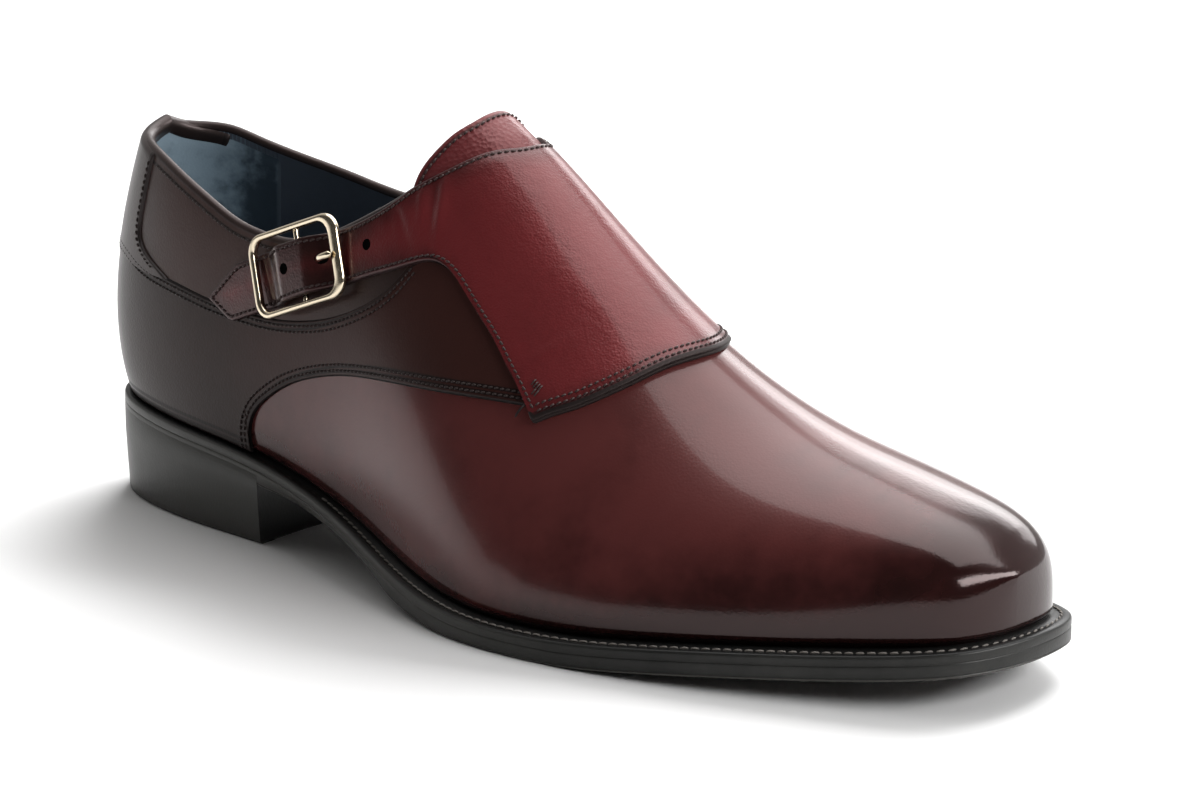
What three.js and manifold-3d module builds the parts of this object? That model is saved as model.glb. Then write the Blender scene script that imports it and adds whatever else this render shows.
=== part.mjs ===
// Monk strap shoe for the right foot, standing empty on its heel and forefoot.
// Millimetres. +X points to the toe, +Y to the inner side, +Z up, and the ground is z = 0.
import * as THREE from 'three';
import Module from 'manifold-3d';
import { mergeVertices } from 'three/addons/utils/BufferGeometryUtils.js';

const wasm = await Module();
wasm.setup();

// Driving sizes
const soleLength = 300;
const ballWidth = 100; // widest part of the sole, across the ball of the foot
const instepHeight = 112; // top of the form at the crest of the flap
const heelEdge = -soleLength / 2; // x of the sole's back end
const centreShift = { x: 0.8, y: 2.75 }; // puts the origin under the middle of the bounding box

const gap = 0.3; // between pieces that meet
const upperWall = 2.2;
const tongueWall = 1.8;
const strapWall = 1.8;
const weltThickness = 2.6;
const weltWidth = 12;
const soleStack = 6.4; // welt, gap and outsole together
const insoleThickness = 2.8;
const heelLength = 74;
const heelInset = { top: 0.7, bottom: 1.2 };

// A table has named columns and one row for each section
function table(names, rows) {
  const columns = names.trim().split(/\s+/);
  return rows.map((row) => Object.fromEntries(row.map((value, i) => [columns[i], value])));
}

// Natural cubic curve through one column of a table
function curveThrough(keys, values) {
  const count = keys.length;
  const bend = new Array(count).fill(0);
  const carry = new Array(count).fill(0);
  for (let i = 1; i < count - 1; i += 1) {
    const before = keys[i] - keys[i - 1];
    const after = keys[i + 1] - keys[i];
    const share = before / (before + after);
    const pivot = share * bend[i - 1] + 2;
    const slopes = (values[i + 1] - values[i]) / after - (values[i] - values[i - 1]) / before;
    bend[i] = (share - 1) / pivot;
    carry[i] = ((6 * slopes) / (before + after) - share * carry[i - 1]) / pivot;
  }
  for (let i = count - 2; i >= 0; i -= 1) bend[i] = bend[i] * bend[i + 1] + carry[i];
  return (key) => {
    let i = 0;
    while (i < count - 2 && key > keys[i + 1]) i += 1;
    const span = keys[i + 1] - keys[i];
    const a = (keys[i + 1] - key) / span;
    const b = 1 - a;
    const cubic = ((a ** 3 - a) * bend[i] + (b ** 3 - b) * bend[i + 1]) * (span ** 2 / 6);
    return a * values[i] + b * values[i + 1] + cubic;
  };
}

// Stations run as an angle from 0 at the heel to pi at the toe, so that both ends are round
const angleAt = (share) => Math.acos(1 - 2 * Math.min(Math.max(share, 0), 1));
const shareAt = (angle) => (1 - Math.cos(angle)) / 2;
const angleOfX = (x) => angleAt((x - heelEdge) / soleLength);

// Sole edge: half widths as shares of the ball width, and how far the upper stands inside it
const soleRows = table('at outer inner rimOuter rimInner', [
  [0.0, 0.0, 0.0, 3.0, 3.0],
  [0.03, 0.175, 0.18, 3.0, 3.0],
  [0.08, 0.245, 0.255, 3.0, 3.0],
  [0.16, 0.29, 0.3, 3.0, 3.0],
  [0.26, 0.31, 0.3, 3.2, 3.0],
  [0.36, 0.36, 0.265, 3.8, 3.0],
  [0.46, 0.465, 0.285, 5.0, 3.0],
  [0.56, 0.545, 0.37, 5.8, 4.2],
  [0.66, 0.535, 0.46, 6.0, 5.4],
  [0.75, 0.476, 0.495, 6.0, 5.8],
  [0.83, 0.394, 0.47, 6.0, 5.6],
  [0.9, 0.303, 0.405, 6.0, 5.2],
  [0.95, 0.226, 0.332, 5.6, 4.8],
  [0.985, 0.132, 0.24, 5.0, 4.6],
  [1.0, -0.035, 0.035, 4.6, 4.6],
]);

// Height of the welt's top along the shoe: heel seat, arch, flat tread and toe spring
const rimRows = table('x height', [
  [-150, 27.5],
  [-115, 25.6],
  [-78, 22.5],
  [-45, 16.0],
  [-10, 8.8],
  [16, 6.3],
  [34, 6.0],
  [52, 6.5],
  [72, 8.2],
  [95, 10.4],
  [125, 13.1],
  [150, 16.0],
]);

// Sections of the form: ridge height as a share of the instep, where the ridge lies, how far
// the sides bulge over the sole, how high the bulge is and how broad the shoulders are
const formRows = table('at ridge ridgeY bulgeOuter bulgeInner wall shoulderOuter shoulderInner', [
  [0.0, 1.143, 0, 0, 0, 0.5, 0.8, 0.8],
  [0.03, 1.143, 0, 2, 2, 0.5, 0.8, 0.8],
  [0.08, 1.143, 0, 3.5, 3.5, 0.5, 0.78, 0.78],
  [0.16, 1.143, 0, 4.5, 4.5, 0.5, 0.76, 0.76],
  [0.26, 1.143, 0, 4.5, 4.5, 0.5, 0.72, 0.72],
  [0.36, 1.125, 0, 3.5, 4.5, 0.5, 0.6, 0.66],
  [0.46, 1.0, 0, 1.5, 4.5, 0.48, 0.48, 0.6],
  [0.56, 0.795, 1, 0.5, 4, 0.45, 0.43, 0.58],
  [0.66, 0.598, 3, 1, 3, 0.47, 0.46, 0.6],
  [0.75, 0.482, 6, 2, 2.5, 0.52, 0.54, 0.62],
  [0.83, 0.429, 8.5, 2, 2.2, 0.56, 0.62, 0.68],
  [0.9, 0.393, 9.5, 2, 2, 0.6, 0.76, 0.78],
  [0.95, 0.357, 9, 1.5, 1.5, 0.68, 0.9, 0.88],
  [0.985, 0.304, 6.5, 0.8, 0.8, 0.74, 0.96, 0.94],
  [1.0, 0.259, 3.5, 0, 0, 0.74, 0.96, 0.94],
]);

// Back of the heel seen from the side: how far each height leans forward
const backRows = table('height lean', [
  [26, 0.4],
  [31, -1.8],
  [40, -4.0],
  [50, -4.6],
  [62, -3.6],
  [78, -0.4],
  [94, 4.0],
  [105, 7.5],
  [128, 16.0],
]);
const backFade = 0.34; // share of the length over which that lean dies out

const columnOf = (rows, name) =>
  curveThrough(rows.map((row) => angleAt(row.at)), rows.map((row) => row[name]));
function columnsOf(rows) {
  const names = Object.keys(rows[0]).filter((name) => name !== 'at');
  return Object.fromEntries(names.map((name) => [name, columnOf(rows, name)]));
}
const sole = columnsOf(soleRows);
const form = columnsOf(formRows);
const rimCurve = curveThrough(rimRows.map((r) => r.x), rimRows.map((r) => r.height));
const backCurve = curveThrough(backRows.map((r) => r.height), backRows.map((r) => r.lean));
const rimHeight = (x) => rimCurve(Math.min(Math.max(x, -soleLength / 2), soleLength / 2));
const treadHeight = (x) => Math.max(rimHeight(x) - soleStack, 0);

// Point of the sole's edge on one side (-1 outer, +1 inner), moved inwards along its normal
function soleEdge(angle, side, inset) {
  const step = 1e-3;
  const raw = (t) => [
    heelEdge + soleLength * shareAt(t),
    side * ballWidth * (side < 0 ? sole.outer(t) : sole.inner(t)),
  ];
  const [x, y] = raw(angle);
  if (angle < step) return [x + inset, 0];
  if (angle > Math.PI - step) return [x - inset, y];
  const [xa, ya] = raw(angle - step);
  const [xb, yb] = raw(angle + step);
  const length = Math.hypot(xb - xa, yb - ya);
  return [x + ((side * (yb - ya)) / length) * inset, y - ((side * (xb - xa)) / length) * inset];
}

// Point of the form: turn runs 0 at the outer feather edge, 0.5 on the ridge, 1 at the inner edge
function formPoint(angle, turn) {
  const outer = turn <= 0.5;
  const side = outer ? -1 : 1;
  const u = outer ? 2 * turn : 2 * (1 - turn);
  const rim = outer ? sole.rimOuter(angle) : sole.rimInner(angle);
  const [edgeX, edgeY] = soleEdge(angle, side, rim);
  const [otherX] = soleEdge(angle, -side, outer ? sole.rimInner(angle) : sole.rimOuter(angle));
  const bulge = side * (outer ? form.bulgeOuter(angle) : form.bulgeInner(angle));
  const shoulder = outer ? form.shoulderOuter(angle) : form.shoulderInner(angle);
  const foot = rimHeight(edgeX) + gap;
  const ridge = instepHeight * form.ridge(angle);
  const ridgeY = form.ridgeY(angle);
  const low = (1 - u) ** 3;
  const lowMid = 3 * u * (1 - u) ** 2;
  const highMid = 3 * u * u * (1 - u);
  const high = u ** 3;
  const shoulderY = ridgeY + shoulder * (edgeY - ridgeY);
  const y = low * edgeY + lowMid * (edgeY + bulge) + highMid * shoulderY + high * ridgeY;
  const bulgeZ = foot + form.wall(angle) * (ridge - foot);
  const z = low * foot + lowMid * bulgeZ + (highMid + high) * ridge;
  const middleX = (edgeX + otherX) / 2;
  const fade = THREE.MathUtils.smoothstep(1 - shareAt(angle) / backFade, 0, 1);
  const lean = backCurve(Math.min(Math.max(z, 24), 130)) * fade;
  return new THREE.Vector3((low + lowMid) * edgeX + (highMid + high) * middleX + lean, y, z);
}

// Outward normal of the form. At both ends the section runs straight across.
function formNormal(angle, turn) {
  const step = 2e-3;
  const up = formPoint(angle, Math.min(turn + step, 1)).sub(formPoint(angle, Math.max(turn - step, 0)));
  const atEnd = angle < step || angle > Math.PI - step;
  const along = atEnd
    ? new THREE.Vector3(0, (turn <= 0.5 ? -1 : 1) * (angle < 1 ? 1 : -1), 0)
    : formPoint(angle + step, turn).sub(formPoint(angle - step, turn));
  const normal = along.cross(up).normalize();
  if (atEnd) normal.y = 0;
  return normal.normalize();
}

const skin = (angle, turn, offset) =>
  formPoint(angle, turn).addScaledVector(formNormal(angle, turn), offset);

const turnCount = 24; // facets round the form, shared by every layer that lies on it

// Joins rings of points into one closed body. Each ring is a closed outline whose two halves
// face each other, so that each end is closed by a strip between them.
function loft(rings) {
  const count = rings[0].length;
  const points = rings.flat();
  const faces = [];
  const quad = (a, b, c, d) => faces.push([a, b, c], [a, c, d]);
  for (let i = 0; i < rings.length - 1; i += 1) {
    for (let j = 0; j < count; j += 1) {
      const next = (j + 1) % count;
      quad(i * count + j, i * count + next, (i + 1) * count + next, (i + 1) * count + j);
    }
  }
  const last = (rings.length - 1) * count;
  for (let j = 0; j < Math.floor(count / 2); j += 1) {
    const k = count - 1 - j;
    if (k - 1 <= j) break;
    quad(j, k, k - 1, j + 1);
    quad(last + j, last + j + 1, last + k - 1, last + k);
  }
  return solidOf(points, faces);
}

// Joins rings that run round in a closed hoop
function hoop(rings) {
  const count = rings[0].length;
  const points = rings.flat();
  const faces = [];
  rings.forEach((ring, i) => {
    const after = (i + 1) % rings.length;
    ring.forEach((point, j) => {
      const next = (j + 1) % count;
      faces.push([i * count + j, i * count + next, after * count + next]);
      faces.push([i * count + j, after * count + next, after * count + j]);
    });
  });
  return solidOf(points, faces);
}

function solidOf(points, faces) {
  const geometry = new THREE.BufferGeometry();
  const places = points.flatMap((point) => point.toArray());
  geometry.setAttribute('position', new THREE.Float32BufferAttribute(places, 3));
  geometry.setIndex(faces.flat());
  return solid(geometry);
}

// Closed geometry with merged vertices as a solid, turned inside out if it faces inwards
function solid(source) {
  const bare = source.clone();
  bare.deleteAttribute('normal');
  bare.deleteAttribute('uv');
  const merged = mergeVertices(bare, 1e-4);
  const index = merged.index.array;
  const places = merged.attributes.position.array;
  const kept = [];
  let volume = 0;
  for (let i = 0; i < index.length; i += 3) {
    const [a, b, c] = [index[i], index[i + 1], index[i + 2]];
    if (a === b || b === c || c === a) continue;
    kept.push(a, b, c);
    const [p, q, r] = [a, b, c].map((n) => new THREE.Vector3().fromArray(places, 3 * n));
    volume += p.dot(q.cross(r));
  }
  if (volume < 0) kept.reverse();
  const shape = { numProp: 3, vertProperties: new Float32Array(places), triVerts: new Uint32Array(kept) };
  return new wasm.Manifold(new wasm.Mesh(shape));
}

function geometryOf(body) {
  const mesh = body.getMesh();
  const geometry = new THREE.BufferGeometry();
  geometry.setAttribute('position', new THREE.BufferAttribute(mesh.vertProperties, 3));
  geometry.setIndex(new THREE.BufferAttribute(mesh.triVerts, 1));
  geometry.computeVertexNormals();
  return geometry;
}

const steps = (from, to, count) =>
  Array.from({ length: count + 1 }, (blank, i) => from + ((to - from) * i) / count);

// Side view outline in x and z, drawn through its points, as a wall between two y positions
function sidePrism(outline, yFrom, yTo) {
  const shape = new THREE.Shape(outline.map(([x, z]) => new THREE.Vector2(x, z)));
  const geometry = new THREE.ExtrudeGeometry(shape, { depth: yTo - yFrom, bevelEnabled: false });
  return solid(geometry.rotateX(Math.PI / 2).translate(0, yTo, 0));
}

// Rounds a line of points into the given number of short steps
function smooth(points, count) {
  const curve = new THREE.SplineCurve(points.map(([x, z]) => new THREE.Vector2(x, z)));
  return curve.getPoints(count).map((point) => [point.x, point.y]);
}

// Plate that follows the sole from side to side between two faces, each with an inset from the
// sole's edge on either side and a height along the shoe
function plate(angles, across, top, bottom) {
  const shares = steps(0, 1, across);
  const line = (angle, face) => {
    const [outerX, outerY] = soleEdge(angle, -1, face.inset(angle, -1));
    const [innerX, innerY] = soleEdge(angle, 1, face.inset(angle, 1));
    return shares.map((share) => {
      const x = outerX + (innerX - outerX) * share;
      return new THREE.Vector3(x, outerY + (innerY - outerY) * share, face.height(x));
    });
  };
  return loft(angles.map((angle) => [...line(angle, top), ...line(angle, bottom).reverse()]));
}

function makeOutsole() {
  const inset = () => gap;
  const top = { inset, height: (x) => rimHeight(x) - weltThickness - gap };
  return plate(steps(0, Math.PI, 40), 4, top, { inset, height: treadHeight });
}

function makeWelt() {
  const angles = steps(0, Math.PI, 40);
  const ring = (angle, side) => {
    const [outX, outY] = soleEdge(angle, side, 0);
    const [inX, inY] = soleEdge(angle, side, weltWidth);
    const at = (x, y, drop) => new THREE.Vector3(x, y, rimHeight(x) - drop);
    const shave = 0.5; // rounds the visible edge
    const [softX, softY] = soleEdge(angle, side, shave);
    return [
      at(softX, softY, 0), at(outX, outY, shave), at(outX, outY, weltThickness - shave),
      at(softX, softY, weltThickness), at(inX, inY, weltThickness), at(inX, inY, 0),
    ];
  };
  const outer = angles.map((angle) => ring(angle, -1));
  const inner = angles.slice(1, -1).reverse().map((angle) => ring(angle, 1));
  return hoop([...outer, ...inner]);
}

function makeHeel() {
  const lastAngle = angleOfX(heelEdge + heelLength);
  const top = { inset: () => heelInset.top, height: (x) => treadHeight(x) - gap };
  const bottom = { inset: () => heelInset.bottom, height: () => 0 };
  return plate(steps(0, lastAngle, 18), 4, top, bottom);
}

function makeInsole() {
  const rim = (angle, side) => (side < 0 ? sole.rimOuter(angle) : sole.rimInner(angle));
  const inset = (angle, side) => rim(angle, side) + upperWall + 2 * gap;
  const under = (x) => rimHeight(x) + gap;
  const top = { inset, height: (x) => under(x) + insoleThickness };
  return plate(steps(0.1, Math.PI - 0.1, 30), 3, top, { inset, height: under });
}

// The whole form as a solid, moved out or in by an offset and carried on below its feather edge
function wholeForm(offset, below) {
  const turns = steps(0, 1, turnCount);
  return loft(
    steps(0, Math.PI, 42).map((angle) => {
      const section = turns.map((turn) => skin(angle, turn, offset));
      const drop = new THREE.Vector3(0, 0, -below);
      return [section[0].clone().add(drop), ...section, section.at(-1).clone().add(drop)];
    }),
  );
}

// Collar seen from the side, the same on both sides: dips below the ankle, climbs to the throat
const collarLine = [
  [-175, 99], [-152, 96.8], [-142, 95.3], [-127, 92.3], [-112, 89.2], [-99, 85.6], [-88, 82.5],
  [-78, 80.6], [-68, 80.1], [-58, 81.6], [-48, 85.2], [-38, 89.6], [-28, 95], [-18, 100.5],
  [-8, 105.4], [4, 110], [18, 114],
];
const collarCurve = curveThrough(collarLine.map((p) => p[0]), collarLine.map((p) => p[1]));

function makeUpper() {
  const above = [...smooth(collarLine, 40), [20, 150], [-175, 150]];
  const hollow = wholeForm(-upperWall, 12); // runs on downwards, which leaves the underside open
  return wholeForm(0, 0).subtract(hollow).subtract(sidePrism(above, -100, 100));
}

// Layer that lies on the form between two stations and two turns, with its own offset
function layer(stations, firstTurn, lastTurn, offsetOf, thickness) {
  return loft(
    stations.map((x) => {
      const angle = angleOfX(x);
      const turns = steps(firstTurn / turnCount, lastTurn / turnCount, lastTurn - firstTurn);
      const at = (turn, extra) => {
        const base = formPoint(angle, turn);
        return skin(angle, turn, offsetOf(base, turn) + extra);
      };
      return [...turns.map((t) => at(t, thickness)), ...turns.reverse().map((t) => at(t, 0))];
    }),
  );
}

// Tongue: lies inside the throat and comes up to the flap's underside where it leaves the upper
function makeTongue() {
  const risen = 2.8;
  const offset = (base) => {
    const past = base.z - collarCurve(Math.min(base.x, 16));
    return -upperWall - 2 * gap - tongueWall + risen * THREE.MathUtils.smoothstep(past, 4, 12);
  };
  const edge = [
    [-12, 126], [-19.6, 118], [-22.6, 113.4], [-24.6, 110], [-26.4, 106.2], [-27.4, 102], [-27.2, 97],
    [-25, 90], [-19, 82], [-8, 75], [10, 68], [34, 60],
  ];
  const keep = [...smooth(edge, 32), [40, 60], [40, 130], [-12, 130]];
  return layer(steps(-40, 46, 16), 5, 19, offset, tongueWall).intersect(sidePrism(keep, -60, 60));
}

// Buckle: its middle on the form, and its own axes along the strap, up across it and outwards
const buckle = {
  angle: angleAt(0.303), turn: 0.181, slant: 0.375, // radians that the strap rises to the front
  length: 33.4, height: 21, corner: 4.6,
  backBar: 2.2, frontBar: 4, rail: 1.7,
  low: 3.1, thickness: 2.1, // underside above the form, and depth of the frame
  barHeight: 2.9, barRadius: 0.75,
};
const buckleCentre = formPoint(buckle.angle, buckle.turn);
const buckleOut = formNormal(buckle.angle, buckle.turn);
const buckleAlong = new THREE.Vector3(Math.cos(buckle.slant), 0, Math.sin(buckle.slant));
buckleAlong.addScaledVector(buckleOut, -buckleAlong.dot(buckleOut)).normalize();
const buckleUp = new THREE.Vector3().crossVectors(buckleOut, buckleAlong);
const buckleFrame = new THREE.Matrix4()
  .makeBasis(buckleAlong, buckleUp, buckleOut)
  .setPosition(buckleCentre);

// Strap: broad flap over the instep on both sides and a pointed tail through the buckle
const strapTop = [
  [-44, 89.4], [-36.5, 93.2], [-30.8, 97], [-25.9, 100.8], [-19, 105], [-14.2, 108.5], [-10.2, 111.4],
  [-7, 115], [-5, 120],
];
const overCrest = [[-5, 130], [66, 130], [66, 74]];
const outerFront = [
  [52, 71.5], [48, 67], [44.6, 63.5], [41.1, 60.7], [36.7, 58], [31.4, 55.4], [27.9, 53.2],
];
const outerLow = [
  [25.3, 56.4], [16.6, 64.9], [5.9, 73.9], [-5.2, 81.8], [-10.4, 84], [-16, 83.8], [-23.4, 81.6],
];
const tail = { tip: [[-77.8, 60.6], [-86.2, 57.2], [-95.2, 61.4], [-85.2, 72.8]], start: [-41.4, 75] };
const innerFront = [[52, 71.5], [43.2, 67.2], [31.4, 64], [23.1, 61], [15.5, 56.2], [9.8, 52.4]];
const innerLow = [
  [3, 52], [-7.4, 52.6], [-18, 53.3], [-28.4, 54.6], [-38, 57], [-44, 60.5], [-46.5, 68], [-44.6, 76],
  [-45.4, 83], [-48.7, 87.6],
];
const flapTop = [...smooth(strapTop, 20), ...overCrest];
const outerLower = [...smooth(outerLow, 14), tail.start, ...tail.tip];
const outerOutline = [...flapTop, ...smooth(outerFront, 12), ...outerLower];
const innerOutline = [...flapTop, ...smooth(innerFront, 12), ...smooth(innerLow, 18)];
const strapLift = 5; // where the tail climbs over the buckle's bar
const liftFlat = 5;
const liftEnd = 12;

function makeStrap() {
  const offset = (base, turn) => {
    const fromBar = Math.abs(base.clone().sub(buckleCentre).dot(buckleAlong));
    const fall = THREE.MathUtils.smoothstep(fromBar, liftFlat, liftEnd);
    return 1.3 * gap + (turn < 0.5 ? strapLift * (1 - fall) : 0);
  };
  const sheet = layer([...steps(-97, -40, 26), ...steps(-35, 60, 18)], 2, 21, offset, strapWall);
  const outlines = sidePrism(outerOutline, -90, 0.6).add(sidePrism(innerOutline, 0.4, 90));
  return sheet.intersect(outlines).subtract(holes());
}

// Holes of the tail along the buckle's own axis; the one that the prong comes through is long
const holeRadius = 1.3;
const prongHole = { along: 8.8, stretch: 2.3 };
const holePitch = 11;
function holes() {
  const punch = (along, stretch) => {
    const round = new THREE.CylinderGeometry(holeRadius, holeRadius, 24, 12).rotateX(Math.PI / 2);
    return solid(round.scale(stretch, 1, 1).translate(along, 0, 0).applyMatrix4(buckleFrame));
  };
  const { along, stretch } = prongHole;
  return punch(along, stretch).add(punch(along - holePitch, 1)).add(punch(along + 1.4 * holePitch, 1));
}

function roundedBox(left, right, bottom, top, radius, Kind) {
  const path = new Kind();
  path.absarc(right - radius, top - radius, radius, 0, Math.PI / 2, false);
  path.absarc(left + radius, top - radius, radius, Math.PI / 2, Math.PI, false);
  path.absarc(left + radius, bottom + radius, radius, Math.PI, 1.5 * Math.PI, false);
  path.absarc(right - radius, bottom + radius, radius, 1.5 * Math.PI, 2 * Math.PI, false);
  return path;
}

function makeBuckleFrame() {
  const { length, height, corner, backBar, frontBar, rail, low, thickness, barHeight, barRadius } = buckle;
  const bevel = 0.5;
  const [half, rise] = [length / 2 - bevel, height / 2 - bevel];
  const ring = roundedBox(-half, half, -rise, rise, corner, THREE.Shape);
  const [back, front] = [-length / 2 + backBar, length / 2 - frontBar];
  const side = height / 2 - rail;
  const [left, right] = [back - bevel, front + bevel];
  ring.holes.push(roundedBox(left, right, -side - bevel, side + bevel, corner - 1.5, THREE.Path));
  const flat = new THREE.ExtrudeGeometry(ring, {
    depth: thickness - 2 * bevel,
    bevelThickness: bevel,
    bevelSize: bevel,
    bevelSegments: 1,
    curveSegments: 5,
  });
  const bar = new THREE.CylinderGeometry(barRadius, barRadius, height - rail, 10);
  const frame = solid(flat.translate(0, 0, low + bevel).applyMatrix4(buckleFrame));
  return frame.add(solid(bar.translate(0, 0, barHeight).applyMatrix4(buckleFrame)));
}

// Prong: an eye round the bar, a shank under the tail, up through its hole and onto the front bar
function makeProng() {
  const radius = 0.8;
  const marks = [[1.4, 2.9], [4, 3], [6, 3.3], [8.4, 4.4], [11, 5.8], [12.8, 6.3], [14.8, 6.3]];
  const points = marks.map(([along, height]) => new THREE.Vector3(along, 0, height));
  const route = new THREE.CatmullRomCurve3(points);
  const rings = route.getPoints(12).map((point, i, all) => {
    const ahead = (all[i + 1] ?? point).clone().sub(all[i - 1] ?? point).normalize();
    const raised = new THREE.Vector3(-ahead.z, 0, ahead.x);
    const width = i === all.length - 1 ? radius / 2 : radius;
    return steps(0, 7, 7).map((k) => {
      const turn = ((k + 0.5) * Math.PI) / 4;
      const spot = point.clone().addScaledVector(raised, width * Math.sin(turn));
      return spot.add(new THREE.Vector3(0, width * Math.cos(turn), 0)).applyMatrix4(buckleFrame);
    });
  });
  const eyeRadius = 1.5;
  const eyeTube = 0.42;
  const eye = new THREE.TorusGeometry(eyeRadius, eyeTube, 8, 16).rotateX(Math.PI / 2);
  return loft(rings).add(solid(eye.translate(0, 0, buckle.barHeight).applyMatrix4(buckleFrame)));
}

// Each piece: how it is made, its colour, roughness and metalness
const pieces = {
  outsole: [makeOutsole, 0x1b1c1b, 0.5, 0],
  welt: [makeWelt, 0x161616, 0.45, 0],
  heel: [makeHeel, 0x191a19, 0.4, 0],
  insole: [makeInsole, 0x20242c, 0.75, 0],
  upper: [makeUpper, 0x3b1319, 0.3, 0],
  tongue: [makeTongue, 0x4d161c, 0.4, 0],
  monk_strap: [makeStrap, 0x64161f, 0.3, 0],
  buckle_frame: [makeBuckleFrame, 0xcdbb97, 0.2, 1],
  buckle_prong: [makeProng, 0xcdbb97, 0.2, 1],
};

const shoe = new THREE.Group();
for (const [name, [make, color, roughness, metalness]] of Object.entries(pieces)) {
  const material = new THREE.MeshStandardMaterial({ color, roughness, metalness });
  const mesh = new THREE.Mesh(geometryOf(make()), material);
  mesh.name = name;
  shoe.add(mesh);
}
shoe.position.set(centreShift.x, centreShift.y, 0);

export default shoe;
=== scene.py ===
import math

import bpy
import numpy as np
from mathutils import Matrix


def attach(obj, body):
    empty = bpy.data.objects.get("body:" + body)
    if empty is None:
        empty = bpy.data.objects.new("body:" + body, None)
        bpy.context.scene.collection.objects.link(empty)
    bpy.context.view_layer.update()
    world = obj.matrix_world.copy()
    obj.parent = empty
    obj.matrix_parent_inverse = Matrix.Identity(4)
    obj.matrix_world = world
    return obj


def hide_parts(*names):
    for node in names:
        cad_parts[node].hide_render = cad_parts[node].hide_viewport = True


# Monk strap shoe for the right foot. Shapes are worked out in millimetres and put into
# the meshes in metres. +X points to the toe, +Y to the inner side, and the floor is z = 0.

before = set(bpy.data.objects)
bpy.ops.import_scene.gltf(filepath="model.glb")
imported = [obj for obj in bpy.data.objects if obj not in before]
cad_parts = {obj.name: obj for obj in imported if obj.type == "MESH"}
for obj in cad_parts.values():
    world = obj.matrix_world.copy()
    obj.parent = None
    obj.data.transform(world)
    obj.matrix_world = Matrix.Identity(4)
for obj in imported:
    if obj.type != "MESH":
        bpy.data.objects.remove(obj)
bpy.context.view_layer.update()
print("frame loaded")

last = {
    "soleLength": 300,
    "ballWidth": 100,
    "instepHeight": 112,
    "heelEdge": -150,
    "shift": (0.8, 2.75, 0),  # middle of the box to the origin
    "gap": 0.3,
    "backFade": 0.34,  # share of the length over which the heel's lean dies out
}

# at, then half widths of the sole outside and inside, then how far the upper stands inside it
soleRows = np.array([
    [0, 0, 0, 3, 3],
    [0.03, 0.175, 0.18, 3, 3],
    [0.08, 0.245, 0.255, 3, 3],
    [0.16, 0.29, 0.3, 3, 3],
    [0.26, 0.31, 0.3, 3.2, 3],
    [0.36, 0.36, 0.265, 3.8, 3],
    [0.46, 0.465, 0.285, 5, 3],
    [0.56, 0.545, 0.37, 5.8, 4.2],
    [0.66, 0.535, 0.46, 6, 5.4],
    [0.75, 0.476, 0.495, 6, 5.8],
    [0.83, 0.394, 0.47, 6, 5.6],
    [0.9, 0.303, 0.405, 6, 5.2],
    [0.95, 0.226, 0.332, 5.6, 4.8],
    [0.985, 0.132, 0.24, 5, 4.6],
    [1, -0.035, 0.035, 4.6, 4.6],
])
# x, then height of the welt's top
rimRows = np.array([
    [-150, 27.5], [-115, 25.6], [-78, 22.5], [-45, 16], [-10, 8.8], [16, 6.3],
    [34, 6], [52, 6.5], [72, 8.2], [95, 10.4], [125, 13.1], [150, 16],
])
# at, ridge height, ridge y, bulge outside and inside, wall, shoulder outside and inside
formRows = np.array([
    [0, 1.143, 0, 0, 0, 0.5, 0.8, 0.8],
    [0.03, 1.143, 0, 2, 2, 0.5, 0.8, 0.8],
    [0.08, 1.143, 0, 3.5, 3.5, 0.5, 0.78, 0.78],
    [0.16, 1.143, 0, 4.5, 4.5, 0.5, 0.76, 0.76],
    [0.26, 1.143, 0, 4.5, 4.5, 0.5, 0.72, 0.72],
    [0.36, 1.125, 0, 3.5, 4.5, 0.5, 0.6, 0.66],
    [0.46, 1, 0, 1.5, 4.5, 0.48, 0.48, 0.6],
    [0.56, 0.795, 1, 0.5, 4, 0.45, 0.43, 0.58],
    [0.66, 0.598, 3, 1, 3, 0.47, 0.46, 0.6],
    [0.75, 0.482, 6, 2, 2.5, 0.52, 0.54, 0.62],
    [0.83, 0.429, 8.5, 2, 2.2, 0.56, 0.62, 0.68],
    [0.9, 0.393, 9.5, 2, 2, 0.6, 0.76, 0.78],
    [0.95, 0.357, 9, 1.5, 1.5, 0.68, 0.9, 0.88],
    [0.985, 0.304, 6.5, 0.8, 0.8, 0.74, 0.96, 0.94],
    [1, 0.259, 3.5, 0, 0, 0.74, 0.96, 0.94],
])
# height, then how far the back of the heel leans forward there
backRows = np.array([
    [26, 0.4], [31, -1.8], [40, -4], [50, -4.6], [62, -3.6], [78, -0.4], [94, 4], [105, 7.5],
    [128, 16],
])


def curveThrough(keys, values):
    # natural cubic curve: bends from the usual three-term equations, then cubic pieces
    keys, values = np.asarray(keys, float), np.asarray(values, float)
    count, gaps = len(keys), np.diff(keys)
    matrix = np.eye(count)
    right = np.zeros(values.shape)
    slopes = (np.diff(values, axis=0).T / gaps).T
    for i in range(1, count - 1):
        matrix[i, i - 1 : i + 2] = gaps[i - 1] / 6, (gaps[i - 1] + gaps[i]) / 3, gaps[i] / 6
        right[i] = slopes[i] - slopes[i - 1]
    bend = np.linalg.solve(matrix, right)

    def at(key):
        key = np.asarray(key, float)
        i = np.clip(np.searchsorted(keys, key) - 1, 0, count - 2)
        span = gaps[i]
        a = (keys[i + 1] - key) / span
        if values.ndim > 1:
            a, span = a[..., None], span[..., None]
        b = 1 - a
        bent = ((a**3 - a) * bend[i] + (b**3 - b) * bend[i + 1]) * span**2 / 6
        return a * values[i] + b * values[i + 1] + bent

    return at


def smoothstep(value, low, high):
    # three t squared less two t cubed, t being 0 at low and 1 at high; falls if high is below low
    t = np.clip((value - low) / (high - low), 0, 1)
    return t * t * (3 - 2 * t)


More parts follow.
